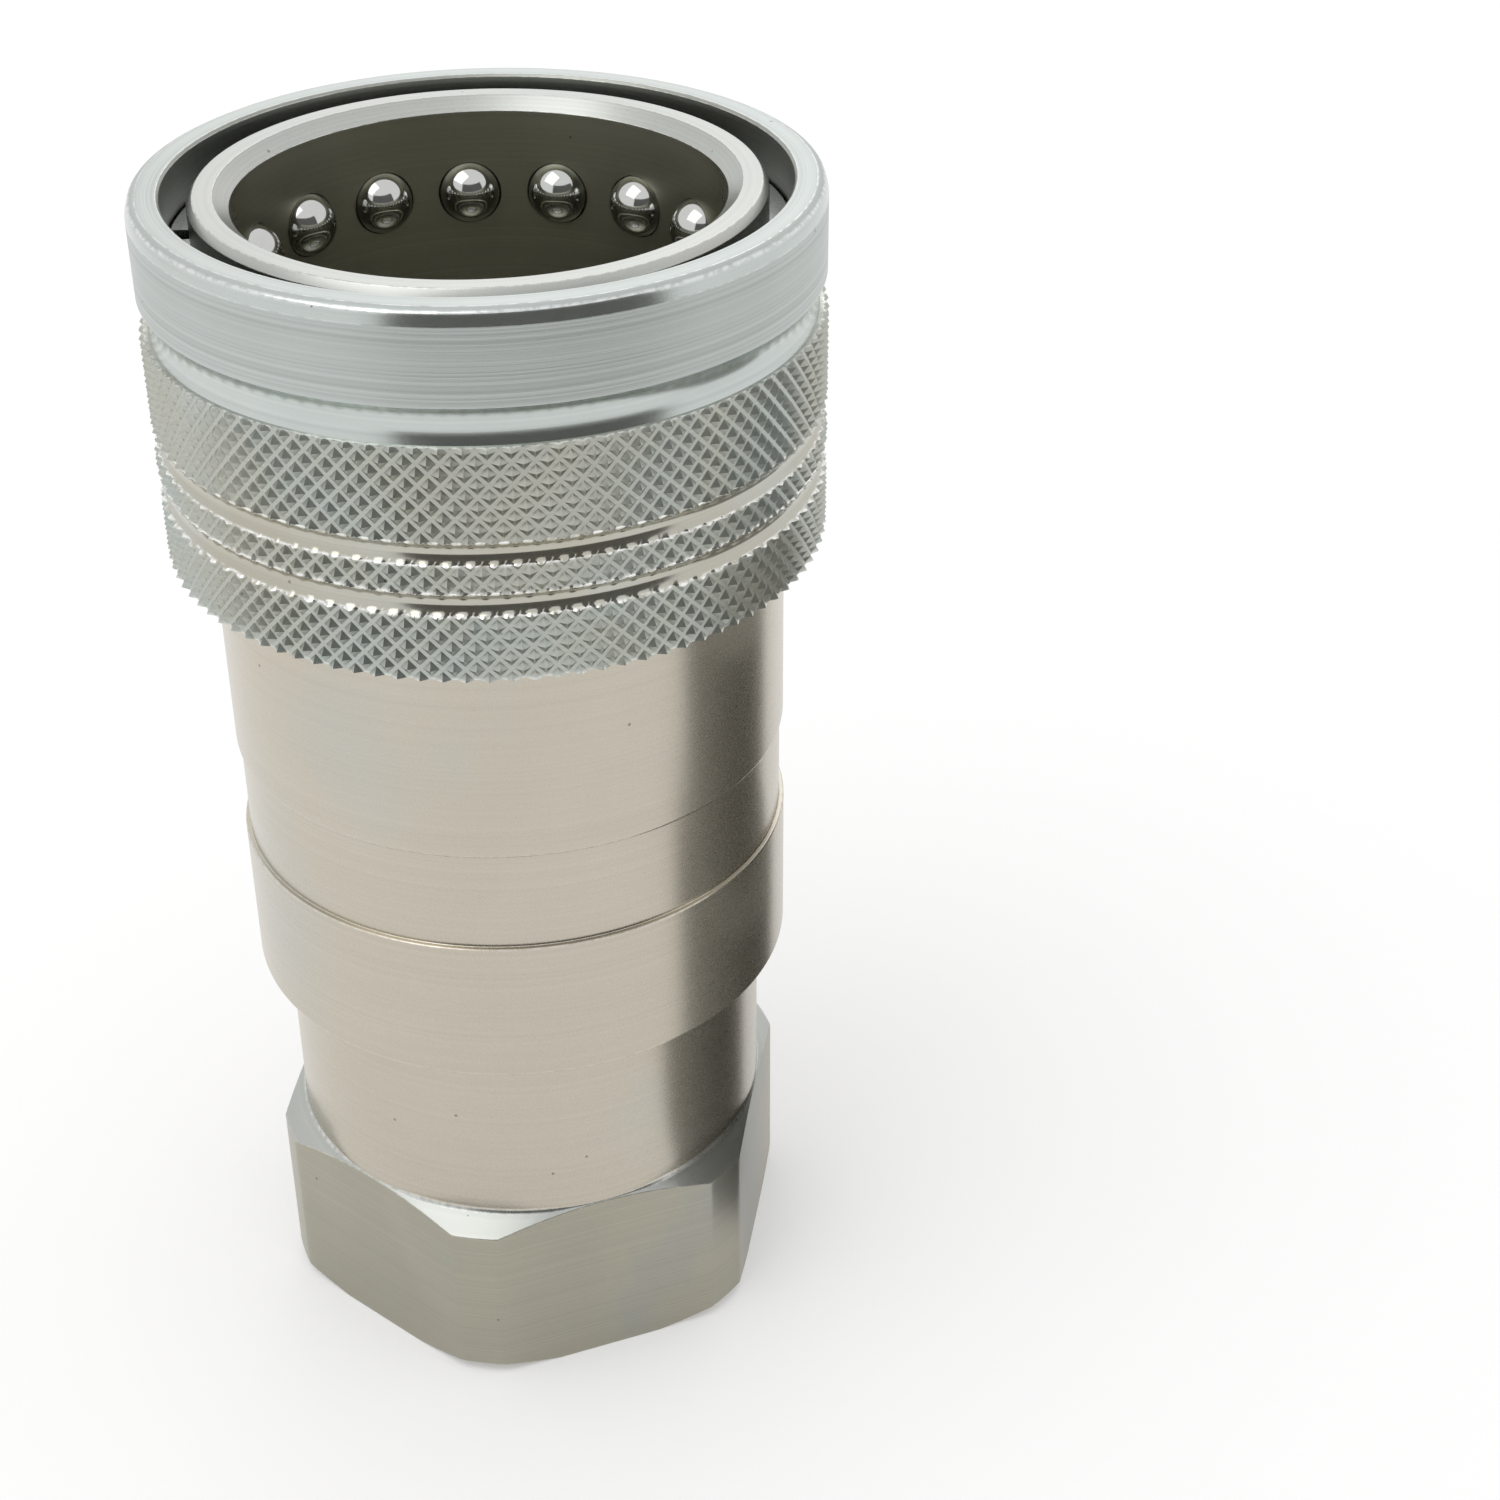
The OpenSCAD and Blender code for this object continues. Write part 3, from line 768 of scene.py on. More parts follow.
@dataclass
class Sleeve:
    """The knurled pull-back sleeve, with every pyramid of its knurl."""

    bottom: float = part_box("sleeve")[0].z
    top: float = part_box("sleeve")[1].z
    crest_r: float = 0.0260
    knurl_depth: float = 0.00046
    crests: int = 98
    rows_per_band: int = 6
    fineness: int = 4
    crest_cut: float = 0.92
    groove_1: tuple[float, float] = (0.0812, 0.0831)
    groove_2: tuple[float, float] = (0.0772, 0.0791)
    groove_depth: float = 0.0008
    groove_steps: int = 10
    knurl_top: float = 0.0903
    cove_r: float = 0.0250
    cove_mid: float = 0.0914
    rim_r: float = 0.0258
    rim_band: float = 0.0933
    rim_round: float = 0.0008
    bore_r: float = 0.02268
    land_r: float = 0.0219
    land: float = 0.0882
    ramp: float = 0.0928
    ramp_r: float = 0.02281
    ledge: float = 0.0953
    counter_r: float = 0.02327

    # COVE takes the brighter zinc (painted highlight), also on the rim's round-over; INSIDE takes the darker zinc
    # (painted shade).
    KNURL, GROOVE, COVE, BAND, INSIDE = range(5)

    @property
    def columns(self) -> int:
        """Number of columns round the knurl."""
        return 2 * self.crests * self.fineness

    @property
    def row_step(self) -> float:
        """Half a pitch of the knurl along the axis."""
        return (self.groove_2[0] - self.bottom) / self.rows_per_band

    def knurl_radius(self, column: int, z: float) -> float:
        """Radius of the knurl on a column at a height: pyramids between two sets of valleys."""
        u = column / self.fineness
        v = (z - self.bottom) / self.row_step
        nearest = min(abs((u + v) / 2 - round((u + v) / 2)), abs((u - v) / 2 - round((u - v) / 2)))
        valley_flat = 1 / self.fineness
        height = max(0.0, (2 * nearest - valley_flat) / (1 - valley_flat))
        return self.crest_r - self.knurl_depth * (1 - min(height, self.crest_cut))

    def splits_rising(self, column: int, z: float) -> bool:
        """Whether the valley through the cell at a column and a height rises to the right."""
        row = math.floor((z - self.bottom) / self.row_step)
        return (column // self.fineness + row) % 2 == 0

    def _wall_heights(self, low: float, high: float) -> list[float]:
        """Heights of the rings in a knurled band, with its edges."""
        fine = self.row_step / self.fineness
        first = math.ceil((low - self.bottom) / fine + 0.2)
        last = math.floor((high - self.bottom) / fine - 0.2)
        return [low, *[self.bottom + k * fine for k in range(first, last + 1)], high]

    def _groove(self, edges: tuple[float, float]) -> list[Station]:
        """Rings of a round groove, without its two edges."""
        half = (edges[1] - edges[0]) / 2
        radius = (half**2 + self.groove_depth**2) / (2 * self.groove_depth)
        reach = math.degrees(math.asin(half / radius))
        centre_r = self.crest_r - self.groove_depth + radius
        stations = []
        for k in range(1, self.groove_steps):
            angle = math.radians(reach * (2 * k / self.groove_steps - 1))
            z = (edges[0] + edges[1]) / 2 + radius * math.sin(angle)
            edge = 1.0 if k in (1, self.groove_steps - 1) else 0.0
            stations.append(Station(centre_r - radius * math.cos(angle), z, edge, self.GROOVE))
        return stations

    def _outside(self) -> list[tuple[Station, bool]]:
        """Rings up the outside below the cove, each with whether its outline is knurled."""
        rings = []
        bands = ((self.bottom, self.groove_2[0]), (self.groove_2[1], self.groove_1[0]), (self.groove_1[1], self.knurl_top))
        for number, (low, high) in enumerate(bands):
            for z in self._wall_heights(low, high):
                edge = 1.0 if z in (low, high) else 0.0
                rings.append((Station(self.crest_r, z, edge, self.KNURL), True))
            if number < 2:
                groove = self._groove((self.groove_2, self.groove_1)[number])
                rings[-1] = (Station(self.crest_r, high, 1.0, self.GROOVE), True)
                rings.extend((station, False) for station in groove)
        return rings

    def _upper(self) -> list[Station]:
        """Outline from the cove over the rim and down the inside to the lower edge."""
        rise = self.rim_band - self.cove_mid
        depth = self.rim_r - self.cove_r
        radius = (rise**2 + depth**2) / (2 * depth)
        foot = 180 + math.degrees(math.asin((self.cove_mid - self.knurl_top) / radius))
        head = 180 - math.degrees(math.asin(rise / radius))
        cove = arc(self.cove_r + radius, self.cove_mid, radius, foot, head, 12)
        cove = [Corner(c.r, c.z, 0.0, self.COVE) for c in cove[:-1]]
        corners = [
            *cove,
            Corner(self.rim_r, self.rim_band, 0.00006, self.BAND),
            # The rim's round-over takes the cove's brighter zinc: painted highlight.
            Corner(self.rim_r, self.top - self.rim_round - 0.0004, 0.0004, self.COVE),
            Corner(self.rim_r - 0.0001, self.top - self.rim_round, 0.0004, self.COVE),
            Corner(self.rim_r - 0.00025, self.top - 0.00025, 0.0006, self.BAND),
            Corner(self.rim_r - self.rim_round, self.top, 0.0004, self.BAND),
            Corner(self.counter_r + 0.0002, self.top, 0.00012, self.INSIDE),
            Corner(self.counter_r, self.top - 0.0002, 0.00012, self.INSIDE),
            Corner(self.counter_r, self.ledge, 0.0001, self.INSIDE),
            Corner(self.ramp_r, self.ledge, 0.0001, self.INSIDE),
            Corner(self.land_r, self.ramp, 0.0002, self.INSIDE),
            Corner(self.land_r, self.land, 0.0001, self.INSIDE),
            Corner(self.bore_r, self.land, 0.0001, self.INSIDE),
            Corner(self.bore_r, self.bottom + 0.0003, 0.0001, self.INSIDE),
            Corner(self.bore_r + 0.0003, self.bottom, 0.0001, self.INSIDE),
        ]
        return eased(corners, steps=3, closed=False)

    def build(self, finishes: Finishes) -> bpy.types.Object:
        """Builds the sleeve.

        Args:
            finishes: The materials.

        Returns:
            The piece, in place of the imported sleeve.
        """
        skin = Skin()
        angles = [math.pi * k / (self.crests * self.fineness) for k in range(self.columns)]
        wall, upper = self._outside(), self._upper()
        stations = [station for station, _ in wall] + upper
        rings = []
        for station, knurled in wall:
            limit = self.crest_r if knurled else station.r
            points = [polar(min(limit, self.knurl_radius(k, station.z)), a, station.z) for k, a in enumerate(angles)]
            rings.append(skin.ring(points, station.edge))
        for station in upper:
            rings.append(skin.ring([polar(station.r, a, station.z) for a in angles[::2]], station.edge))
        for i, (low, high) in enumerate(zip(stations, stations[1:])):
            on_knurl = i + 1 < len(wall) and low.finish == self.KNURL
            rising = partial(self.splits_rising, z=(low.z + high.z) / 2) if on_knurl else None
            skin.join(rings[i], rings[i + 1], low.finish, rising)
        self._close_foot(skin, rings[-1], rings[0])
        materials = [
            finishes.zinc_knurl, finishes.groove, finishes.zinc_cove, finishes.zinc_turned, finishes.zinc_inner,
        ]
        return placed(skin.made("sleeve_knurled", materials), "sleeve", Slot.SLEEVE, "sleeve")

    def _close_foot(self, skin: Skin, inner: range, outer: range) -> None:
        """Closes the lower face between the bore's ring and the knurl's finer ring."""
        count = len(inner)
        for i in range(count):
            j = (i + 1) % count
            a, b, c = outer[2 * i], outer[2 * i + 1], outer[(2 * i + 2) % len(outer)]
            skin.face((inner[i], b, a), self.INSIDE)
            skin.face((inner[i], inner[j], b), self.INSIDE)
            skin.face((inner[j], c, b), self.INSIDE)


@dataclass
class FrontBody:
    """The turned front body, with its nose, its socket bores and the ring of ball holes."""

    joint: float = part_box("front_body")[0].z
    top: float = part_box("front_body")[1].z
    body_r: float = 0.0226
    shoulder: float = 0.0740
    waist_r: float = 0.0205
    cage_r: float = 0.0218
    cage: float = 0.0886
    nose_r: float = 0.0214
    ring_groove_r: float = 0.02045
    ledge: float = 0.0953
    ring_groove_h: float = 0.0012
    mouth_r: float = 0.01834
    tip_r: float = 0.01725
    tip_top: float = 0.0802
    seal: float = 0.0682
    seal_h: float = 0.0046
    seal_r: float = 0.0202
    stop: float = 0.0669
    seat_r: float = 0.00975
    seat_chamfer: float = 0.0030
    chamber_top: float = 0.0630
    chamber_r: float = 0.0150
    socket_r: float = 0.0189
    socket: float = 0.0625
    ease: float = 0.0003
    ball_count: int = 16
    ball_phase: float = 10.0
    ball_z: float = 0.0922
    hole_r: float = 0.0026
    lip_r: float = 0.00248
    window: tuple[float, float] = (0.0892, 0.0948)
    columns_per_ball: int = 20
    window_rows: int = 16

    # BORE takes the darker bore nickel: painted shade in the bores and ball holes.
    OUTSIDE, NOSE, BORE = range(3)

    @property
    def columns(self) -> int:
        """Number of columns round the axis."""
        return self.ball_count * self.columns_per_ball

    def angle(self, column: float) -> float:
        """Angle of a column, where column 0 lies midway between two balls."""
        return math.radians(self.ball_phase) + math.tau * (column - self.columns_per_ball / 2) / self.columns

    def _outline(self) -> list[list[Station]]:
        """The outline in two stretches, which meet at the edges of the ball window."""
        outside, nose, bore = self.OUTSIDE, self.NOSE, self.BORE
        low, high = self.window
        fine = 0.00012
        up = [
            Corner(self.cage_r, high, 0.0, outside),
            Corner(self.cage_r, self.ledge - (self.cage_r - self.nose_r), fine, outside),
            Corner(self.nose_r, self.ledge, fine, outside),
            Corner(self.ring_groove_r, self.ledge, fine, outside),
            Corner(self.ring_groove_r, self.ledge + self.ring_groove_h, fine, outside),
            Corner(self.nose_r, self.ledge + self.ring_groove_h, fine, nose),
            Corner(self.nose_r, self.top - 0.0006, 0.0002, nose),
            Corner(self.nose_r - 0.00046, self.top, 0.0002, nose),
            Corner(self.mouth_r + 0.00113, self.top, 0.0001, nose),
            Corner(self.mouth_r, self.top - 0.0010, 0.00015, bore),
            Corner(self.mouth_r, high, 0.0, bore),
        ]
        down = [
            Corner(self.mouth_r, low, 0.0, bore),
            Corner(self.mouth_r, self.tip_top + 0.0015, 0.0003, bore),
            Corner(self.tip_r, self.tip_top, 0.0003, bore),
            Corner(self.tip_r, self.seal + self.seal_h, fine, bore),
            Corner(self.seal_r, self.seal + self.seal_h, fine, bore),
            Corner(self.seal_r, self.seal, fine, bore),
            Corner(self.tip_r, self.seal, fine, bore),
            Corner(self.tip_r, self.stop, 0.0002, bore),
            Corner(self.seat_r, self.stop, 0.0002, bore),
            Corner(self.seat_r, self.chamber_top + self.seat_chamfer, 0.0002, bore),
            Corner(self.seat_r + self.seat_chamfer, self.chamber_top, 0.0002, bore),
            Corner(self.chamber_r, self.chamber_top, fine, bore),
            Corner(self.chamber_r, self.socket, fine, bore),
            Corner(self.socket_r, self.socket, fine, bore),
            Corner(self.socket_r, self.joint, fine, outside),
            Corner(self.body_r, self.joint, self.ease, outside),
            Corner(self.body_r, self.shoulder, self.ease, outside),
            Corner(self.waist_r, self.shoulder, self.ease, outside),
            Corner(self.waist_r, self.cage - (self.cage_r - self.waist_r), self.ease, outside),
            Corner(self.cage_r, self.cage, fine, outside),
            Corner(self.cage_r, low, 0.0, outside),
        ]
        return [eased(up, closed=False), eased(down, closed=False)]

    def _window_patch(self, skin: Skin, ball: int, wall_r: float, hole_r: float, inward: bool) -> range:
        """Adds the wall round one ball hole and returns the ring of points at the hole's edge.

        Args:
            skin: The skin to add to.
            ball: Number of the ball, from 0.
            wall_r: Radius of the wall.
            hole_r: Radius of the hole where it meets the wall.
            inward: Whether the wall faces the axis.

        Returns:
            The points round the hole's edge.
        """
        low, high = self.window
        n, m = self.columns_per_ball, self.window_rows
        middle = self.angle((ball + 0.5) * n)
        across = [wall_r * math.sin(self.angle(ball * n + k) - middle) for k in range(n + 1)]
        heights = [low + (high - low) * k / m for k in range(m + 1)]
        border = [(y, low) for y in across[:-1]] + [(across[-1], z) for z in heights[:-1]]
        border += [(y, high) for y in across[:0:-1]] + [(across[0], z) for z in heights[:0:-1]]
        spread = 4
        rings = []
        for step in range(spread + 1):
            share = step / spread
            points = []
            for y, z in border:
                way = math.atan2(z - self.ball_z, y)
                hole = (hole_r * math.cos(way), self.ball_z + hole_r * math.sin(way))
                side = y + (hole[0] - y) * share
                turn = middle + math.asin(side / wall_r)
                points.append(polar(wall_r, turn, z + (hole[1] - z) * share))
            rings.append(skin.ring(points, 1.0 if step == spread else 0.0))
        finish = self.BORE if inward else self.OUTSIDE
        for outer, inner in zip(rings, rings[1:]):
            first, second = (inner, outer) if inward else (outer, inner)
            skin.join(first, second, finish)
        return rings[-1]

    def _hole(self, skin: Skin, ball: int) -> None:
        """Adds the walls round one ball hole and the hole between them."""
        inner = self._window_patch(skin, ball, self.mouth_r, self.lip_r + 0.00006, True)
        outer = self._window_patch(skin, ball, self.cage_r, self.hole_r, False)
        middle = self.angle((ball + 0.5) * self.columns_per_ball)
        turn = Matrix.Rotation(middle, 4, "Z")
        back = turn.inverted()
        ways = []
        for number in inner:
            local = back @ skin.points[number]
            ways.append(math.atan2(local.z - self.ball_z, local.y))
        rings = [inner]
        lip_depth = 0.0001
        for x, r in ((self.mouth_r + lip_depth, self.lip_r), (self.mouth_r + 0.00026, self.hole_r)):
            local = [Vector((x, r * math.cos(w), self.ball_z + r * math.sin(w))) for w in ways]
            rings.append(skin.ring([turn @ p for p in local], 0.0))
        edge = []
        for w in ways:
            y = self.hole_r * math.cos(w)
            x = math.sqrt(self.cage_r**2 - y**2)
            edge.append(turn @ Vector((x, y, self.ball_z + self.hole_r * math.sin(w))))
        rings.append(skin.ring(edge, 0.0))
        for first, second in zip(rings, rings[1:]):
            skin.join(first, second, self.BORE)
        self._close_edge(skin, ball, outer)

    def _close_edge(self, skin: Skin, ball: int, outer: range) -> None:
        """Moves the outer wall's hole edge onto the same directions as the hole's own points."""
        middle = self.angle((ball + 0.5) * self.columns_per_ball)
        turn = Matrix.Rotation(middle, 4, "Z")
        n, m = self.columns_per_ball, self.window_rows
        low, high = self.window
        across = [self.mouth_r * math.sin(self.angle(ball * n + k) - middle) for k in range(n + 1)]
        heights = [low + (high - low) * k / m for k in range(m + 1)]
        border = [(y, low) for y in across[:-1]] + [(across[-1], z) for z in heights[:-1]]
        border += [(y, high) for y in across[:0:-1]] + [(across[0], z) for z in heights[:0:-1]]
        for number, (y, z) in zip(outer, border):
            way = math.atan2(z - self.ball_z, y)
            side = self.hole_r * math.cos(way)
            x = math.sqrt(self.cage_r**2 - side**2)
            skin.points[number] = turn @ Vector((x, side, self.ball_z + self.hole_r * math.sin(way)))

    def build(self, finishes: Finishes) -> bpy.types.Object:
        """Builds the front body.

        Args:
            finishes: The materials.

        Returns:
            The piece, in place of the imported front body.
        """
        skin = Skin()
        angles = [self.angle(k) for k in range(self.columns)]
        for stretch in self._outline():
            rings = [skin.ring([polar(s.r, a, s.z) for a in angles], s.edge) for s in stretch]
            for ring, after, station in zip(rings, rings[1:], stretch):
                skin.join(ring, after, station.finish)
        for ball in range(self.ball_count):
            self._hole(skin, ball)
        materials = [finishes.nickel, finishes.nose, finishes.dark_bore]
        piece = merged(skin.made("front_body_turned", materials))
        return placed(piece, "body", Slot.BODY, "front_body")


@dataclass
class Adapter:
    """The hexagon, neck, collar and flat band, with the bores inside them."""

    hex_h: float = 0.0168
    flat: float = 0.0205
    corner_r: float = 0.0226
    chamfer: float = math.radians(30)
    foot_h: float = 0.0009
    neck_r: float = 0.0204
    collar_r: float = 0.0227
    collar: float = 0.0334
    band_r: float = 0.0223
    band: float = 0.0460
    joint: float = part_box("front_body")[0].z
    top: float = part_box("adapter")[1].z
    spigot_r: float = 0.01885
    seal_r: float = 0.0009
    chamber_r: float = 0.0150
    guide: float = 0.0360
    passage_r: float = 0.0127
    port_r: float = 0.01665
    port_h: float = 0.0200
    entry: float = 0.00095
    side_columns: int = 16
    corner_columns: int = 10
    softness: float = 0.00004

    # MILLED takes the darker flats nickel (partly painted shade); BORE takes the darker bore nickel (painted shade).
    TURNED, MILLED, SPARKLING, BORE = range(4)

    def _angles(self) -> list[float]:
        """Angles of the columns: close together at the corners, and on every edge of the hexagon."""
        half_corner = math.radians(30) - math.acos(self.flat / self.corner_r)
        angles = []
        for corner in range(6):
            middle = math.radians(60 * corner)
            for k in range(self.side_columns):
                share = k / self.side_columns
                angles.append(middle - math.radians(30) + (math.radians(30) - half_corner) * share)
            for k in range(self.corner_columns):
                angles.append(middle - half_corner + 2 * half_corner * k / self.corner_columns)
            for k in range(self.side_columns):
                share = k / self.side_columns
                angles.append(middle + half_corner + (math.radians(30) - half_corner) * share)
        return angles

    def _side(self, angle: float) -> float:
        """Radius of the hexagon's side in a direction, with its corners turned down."""
        off = (angle + math.radians(30)) % math.radians(60) - math.radians(30)
        side = self.flat / math.cos(math.radians(30) - abs(off))
        gap = side - self.corner_r
        return (side + self.corner_r - math.sqrt(gap**2 + self.softness**2)) / 2

    def _outline(self, angle: float) -> list[Station]:
        """The closed outline in one direction."""
        turned_, milled, bright, bore = self.TURNED, self.MILLED, self.SPARKLING, self.BORE
        slope = math.tan(self.chamfer)
        side = self._side(angle)
        foot = max(0.0, self.foot_h - (self.corner_r - side) * slope)
        foot_r = side - foot / slope
        head = self.hex_h - (side - self.neck_r) * slope
        fine = 0.00012
        seal_z = self.joint + 0.0024
        seal_half = 1.1 * self.seal_r
        cone_h = (self.port_r - self.passage_r) * slope
        corners = [
            Corner(foot_r - 0.00002, 0.0, 0.0001, milled),
            Corner(side, foot + 0.00006, fine, milled),
            Corner(side, head, fine, bright),
            Corner(self.neck_r, self.hex_h, 0.0006, turned_),
            Corner(self.neck_r, self.collar, fine, turned_),
            Corner(self.collar_r, self.collar, 0.0003, turned_),
            Corner(self.collar_r, self.band, 0.0003, turned_),
            Corner(self.band_r, self.band, 0.0001, turned_),
            Corner(self.band_r, self.joint, 0.00015, turned_),
            Corner(self.spigot_r, self.joint, fine, turned_),
            Corner(self.spigot_r, seal_z - seal_half, fine, turned_),
            Corner(self.spigot_r - 2 * self.seal_r, seal_z - seal_half, fine, turned_),
            Corner(self.spigot_r - 2 * self.seal_r, seal_z + seal_half, fine, turned_),
            Corner(self.spigot_r, seal_z + seal_half, fine, turned_),
            Corner(self.spigot_r, self.top, self.foot_h / 3, turned_),
            Corner(self.chamber_r, self.top, fine, bore),
            Corner(self.chamber_r, self.guide, fine, bore),
            Corner(self.passage_r, self.guide, fine, bore),
            Corner(self.passage_r, self.port_h + cone_h, fine, bore),
            Corner(self.port_r, self.port_h, fine, bore),
            Corner(self.port_r, self.entry, fine, bore),
            Corner(self.port_r + self.entry, 0.0, fine, milled),
        ]
        return eased(corners, steps=3)

    def build(self, finishes: Finishes) -> bpy.types.Object:
        """Builds the adapter.

        Args:
            finishes: The materials.

        Returns:
            The piece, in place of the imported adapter.
        """
        skin = Skin()
        angles = self._angles()
        outlines = [self._outline(a) for a in angles]
        rings = []
        for number, station in enumerate(outlines[0]):
            points = [polar(o[number].r, a, o[number].z) for o, a in zip(outlines, angles)]
            rings.append(skin.ring(points, station.edge))
        for number, ring in enumerate(rings):
            skin.join(ring, rings[(number + 1) % len(rings)], outlines[0][number].finish)
        materials = [finishes.nickel, finishes.milled, finishes.nose, finishes.dark_bore]
        piece = placed(skin.made("adapter_hexagon", materials), "body", Slot.BODY, "adapter")
        self._thread(finishes)
        return piece

    def _thread(self, finishes: Finishes) -> bpy.types.Object:
        """Builds the ridge of the parallel pipe thread, which fades out at both ends."""
        pitch = 0.0254 / 11
        ridge_h = 0.0015
        steps_per_turn = 64
        low, high = 0.0012, self.port_h - 0.0002
        half_base = pitch * 0.46
        root = self.port_r + 0.00003
        crest = [(-1.0, 0.0), (-0.62, 0.38), (-0.3, 0.84), (-0.14, 0.97), (0.0, 1.0)]
        section = crest + [(-x, y) for x, y in crest[-2::-1]]
        turns = (high - low - 2 * half_base) / pitch
        steps = round(turns * steps_per_turn)
        skin = Skin()
        rings = []
        for k in range(steps + 1):
            turn = turns * k / steps
            fade = min(1.0, turn * 4, (turns - turn) * 4) * 0.98 + 0.02
            angle = -math.tau * turn
            middle = low + half_base + pitch * turn
            rings.append(skin.ring([
                polar(root - ridge_h * y * fade, angle, middle + half_base * x) for x, y in section
            ]))
        for ring, after in zip(rings, rings[1:]):
            skin.join(ring, after, 0)
        skin.face(tuple(rings[0]), 0)
        skin.face(tuple(reversed(rings[-1])), 0)
        return placed(skin.made("port_thread_ridge", [finishes.nose]), "body", Slot.BODY)


@dataclass
class RetainingRing:
    """The split ring between the nose and the sleeve."""

    inner_r: float = 0.0205
    outer_r: float = 0.02315
    low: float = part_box("retaining_ring")[0].z
    high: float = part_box("retaining_ring")[1].z
    gap_way: float = 164.5
    gap: float = 5.0
    steps: int = 220

    def build(self, finishes: Finishes) -> bpy.types.Object:
        """Builds the ring.

        Args:
            finishes: The materials.

        Returns:
            The piece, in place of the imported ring.
        """
        ease = 0.00018
        section = eased([
            Corner(self.outer_r, self.low, ease), Corner(self.outer_r, self.high, ease),
            Corner(self.inner_r, self.high, ease), Corner(self.inner_r, self.low, ease),
        ])
        skin = Skin()
        rings = []
        for k in range(self.steps + 1):
            angle = math.radians(self.gap_way + self.gap / 2 + (360 - self.gap) * k / self.steps)
            rings.append(skin.ring([polar(s.r, angle, s.z) for s in section]))
        for ring, after in zip(rings, rings[1:]):
            skin.join(after, ring, 0)
        skin.face(tuple(rings[0]), 0)
        skin.face(tuple(reversed(rings[-1])), 0)
        return placed(
            skin.made("retaining_ring_split", [finishes.ring_steel]), "body", Slot.SPRING, "retaining_ring"
        )


@dataclass
class Spring:
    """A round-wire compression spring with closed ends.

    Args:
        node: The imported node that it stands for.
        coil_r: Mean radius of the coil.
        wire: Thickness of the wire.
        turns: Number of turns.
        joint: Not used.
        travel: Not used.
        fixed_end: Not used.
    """

    node: str
    coil_r: float
    wire: float
    turns: float
    joint: str
    travel: float
    fixed_end: float
    sides: int = 14
    steps_per_turn: int = 40

    def _height(self, turn: float, length: float) -> float:
        """Height of the wire after some turns: closed turns at the ends and open turns between."""
        closed = 1.03 * self.wire
        opened = (length - self.wire - 2 * closed) / (self.turns - 2)
        open_turns = max(0.0, min(turn, self.turns - 1) - 1)
        end_turns = min(turn, 1.0) + max(0.0, turn - (self.turns - 1))
        return self.wire / 2 + closed * end_turns + opened * open_turns

    def build(self, finishes: Finishes) -> bpy.types.Object:
        """Builds the spring.

        Args:
            finishes: The materials.

        Returns:
            The piece.
        """
        low, high = (corner.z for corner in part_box(self.node))
        length = high - low
        steps = round(self.turns * self.steps_per_turn)
        skin = Skin()
        rings = []
        for k in range(steps + 1):
            turn = self.turns * k / steps
            middle = low + self._height(turn, length)
            points = []
            for side in range(self.sides):
                way = math.tau * side / self.sides
                r = self.coil_r + self.wire / 2 * math.cos(way)
                points.append(polar(r, math.tau * turn, middle + self.wire / 2 * math.sin(way)))
            rings.append(skin.ring(points))
        for ring, after in zip(rings, rings[1:]):
            skin.join(after, ring, 0)
        skin.face(tuple(rings[0]), 0)
        skin.face(tuple(reversed(rings[-1])), 0)
        piece = skin.made(f"{self.node}_wire", [finishes.wire])
        placed(piece, "body", Slot.SPRING, self.node)
        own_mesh(piece)
        return piece


@dataclass
class Valve:
    """The poppet with its cone, its dished face and its stem."""

    stem_r: float = 0.0030
    head: float = 0.0586
    head_r: float = 0.0123
    face_r: float = 0.0095
    cone_top: float = 0.06611
    collar_r: float = 0.00625
    collar_h: float = 0.0012
    boss_r: float = 0.00315
    dish_r: float = 0.0086
    dish_depth: float = 0.0018
    seal_r: float = 0.00085

    def build(self, finishes: Finishes) -> bpy.types.Object:
        """Builds the poppet.

        Args:
            finishes: The materials.

        Returns:
            The piece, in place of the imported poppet.
        """
        low, high = (corner.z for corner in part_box("poppet"))
        fine = 0.00015
        cone_foot = self.cone_top - (self.head_r - self.face_r)
        dish = high - self.dish_depth
        seal_r = self.head_r - 0.0013
        seal_top = self.cone_top - (seal_r - self.face_r)
        notch = self.seal_r * 0.7
        corners = [
            Corner(0.0, low),
            Corner(self.stem_r, low, 0.0003),
            Corner(self.stem_r, self.head - self.collar_h, fine),
            Corner(self.collar_r, self.head - self.collar_h, fine),
            Corner(self.collar_r, self.head, fine),
            Corner(self.head_r, self.head, 0.0003),
            Corner(self.head_r, cone_foot, fine),
            Corner(seal_r + notch, seal_top - notch, fine),
            Corner(seal_r, seal_top - 2 * notch, 0.0006),
            Corner(seal_r - notch, seal_top + notch, fine),
            Corner(self.face_r, self.cone_top, fine),
            Corner(self.face_r, high, fine),
            Corner(self.dish_r, high, fine),
            Corner(self.dish_r - self.dish_depth, dish, 0.0012),
            Corner(self.boss_r, dish, 0.0006),
            Corner(self.boss_r, high, 0.0004),
            Corner(0.0, high),
        ]
        skin = turned(eased(corners, steps=4, closed=False), 128)
        return placed(skin.made("poppet_turned", [finishes.nose]), "valve", Slot.ZINC, "poppet")


@dataclass
class Balls:
    """The ring of lock balls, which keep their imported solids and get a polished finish."""

    count: int = 16

    def dress(self, finishes: Finishes) -> None:
        """Gives each ball its material."""
        for number in range(1, self.count + 1):
            dress_node(f"ball_{number:02d}", finishes.ball_steel)


def dress_node(node: str, material: bpy.types.Material) -> None:
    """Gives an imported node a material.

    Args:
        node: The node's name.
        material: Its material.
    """
    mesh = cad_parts[node].data
    mesh.materials.clear()
    mesh.materials.append(material)
    mesh.polygons.foreach_set("material_index", [0] * len(mesh.polygons))
    LOG.info("%s: %s", node, material.name)


# --------------------------------------------------------------------------------------------
# Studio
# --------------------------------------------------------------------------------------------


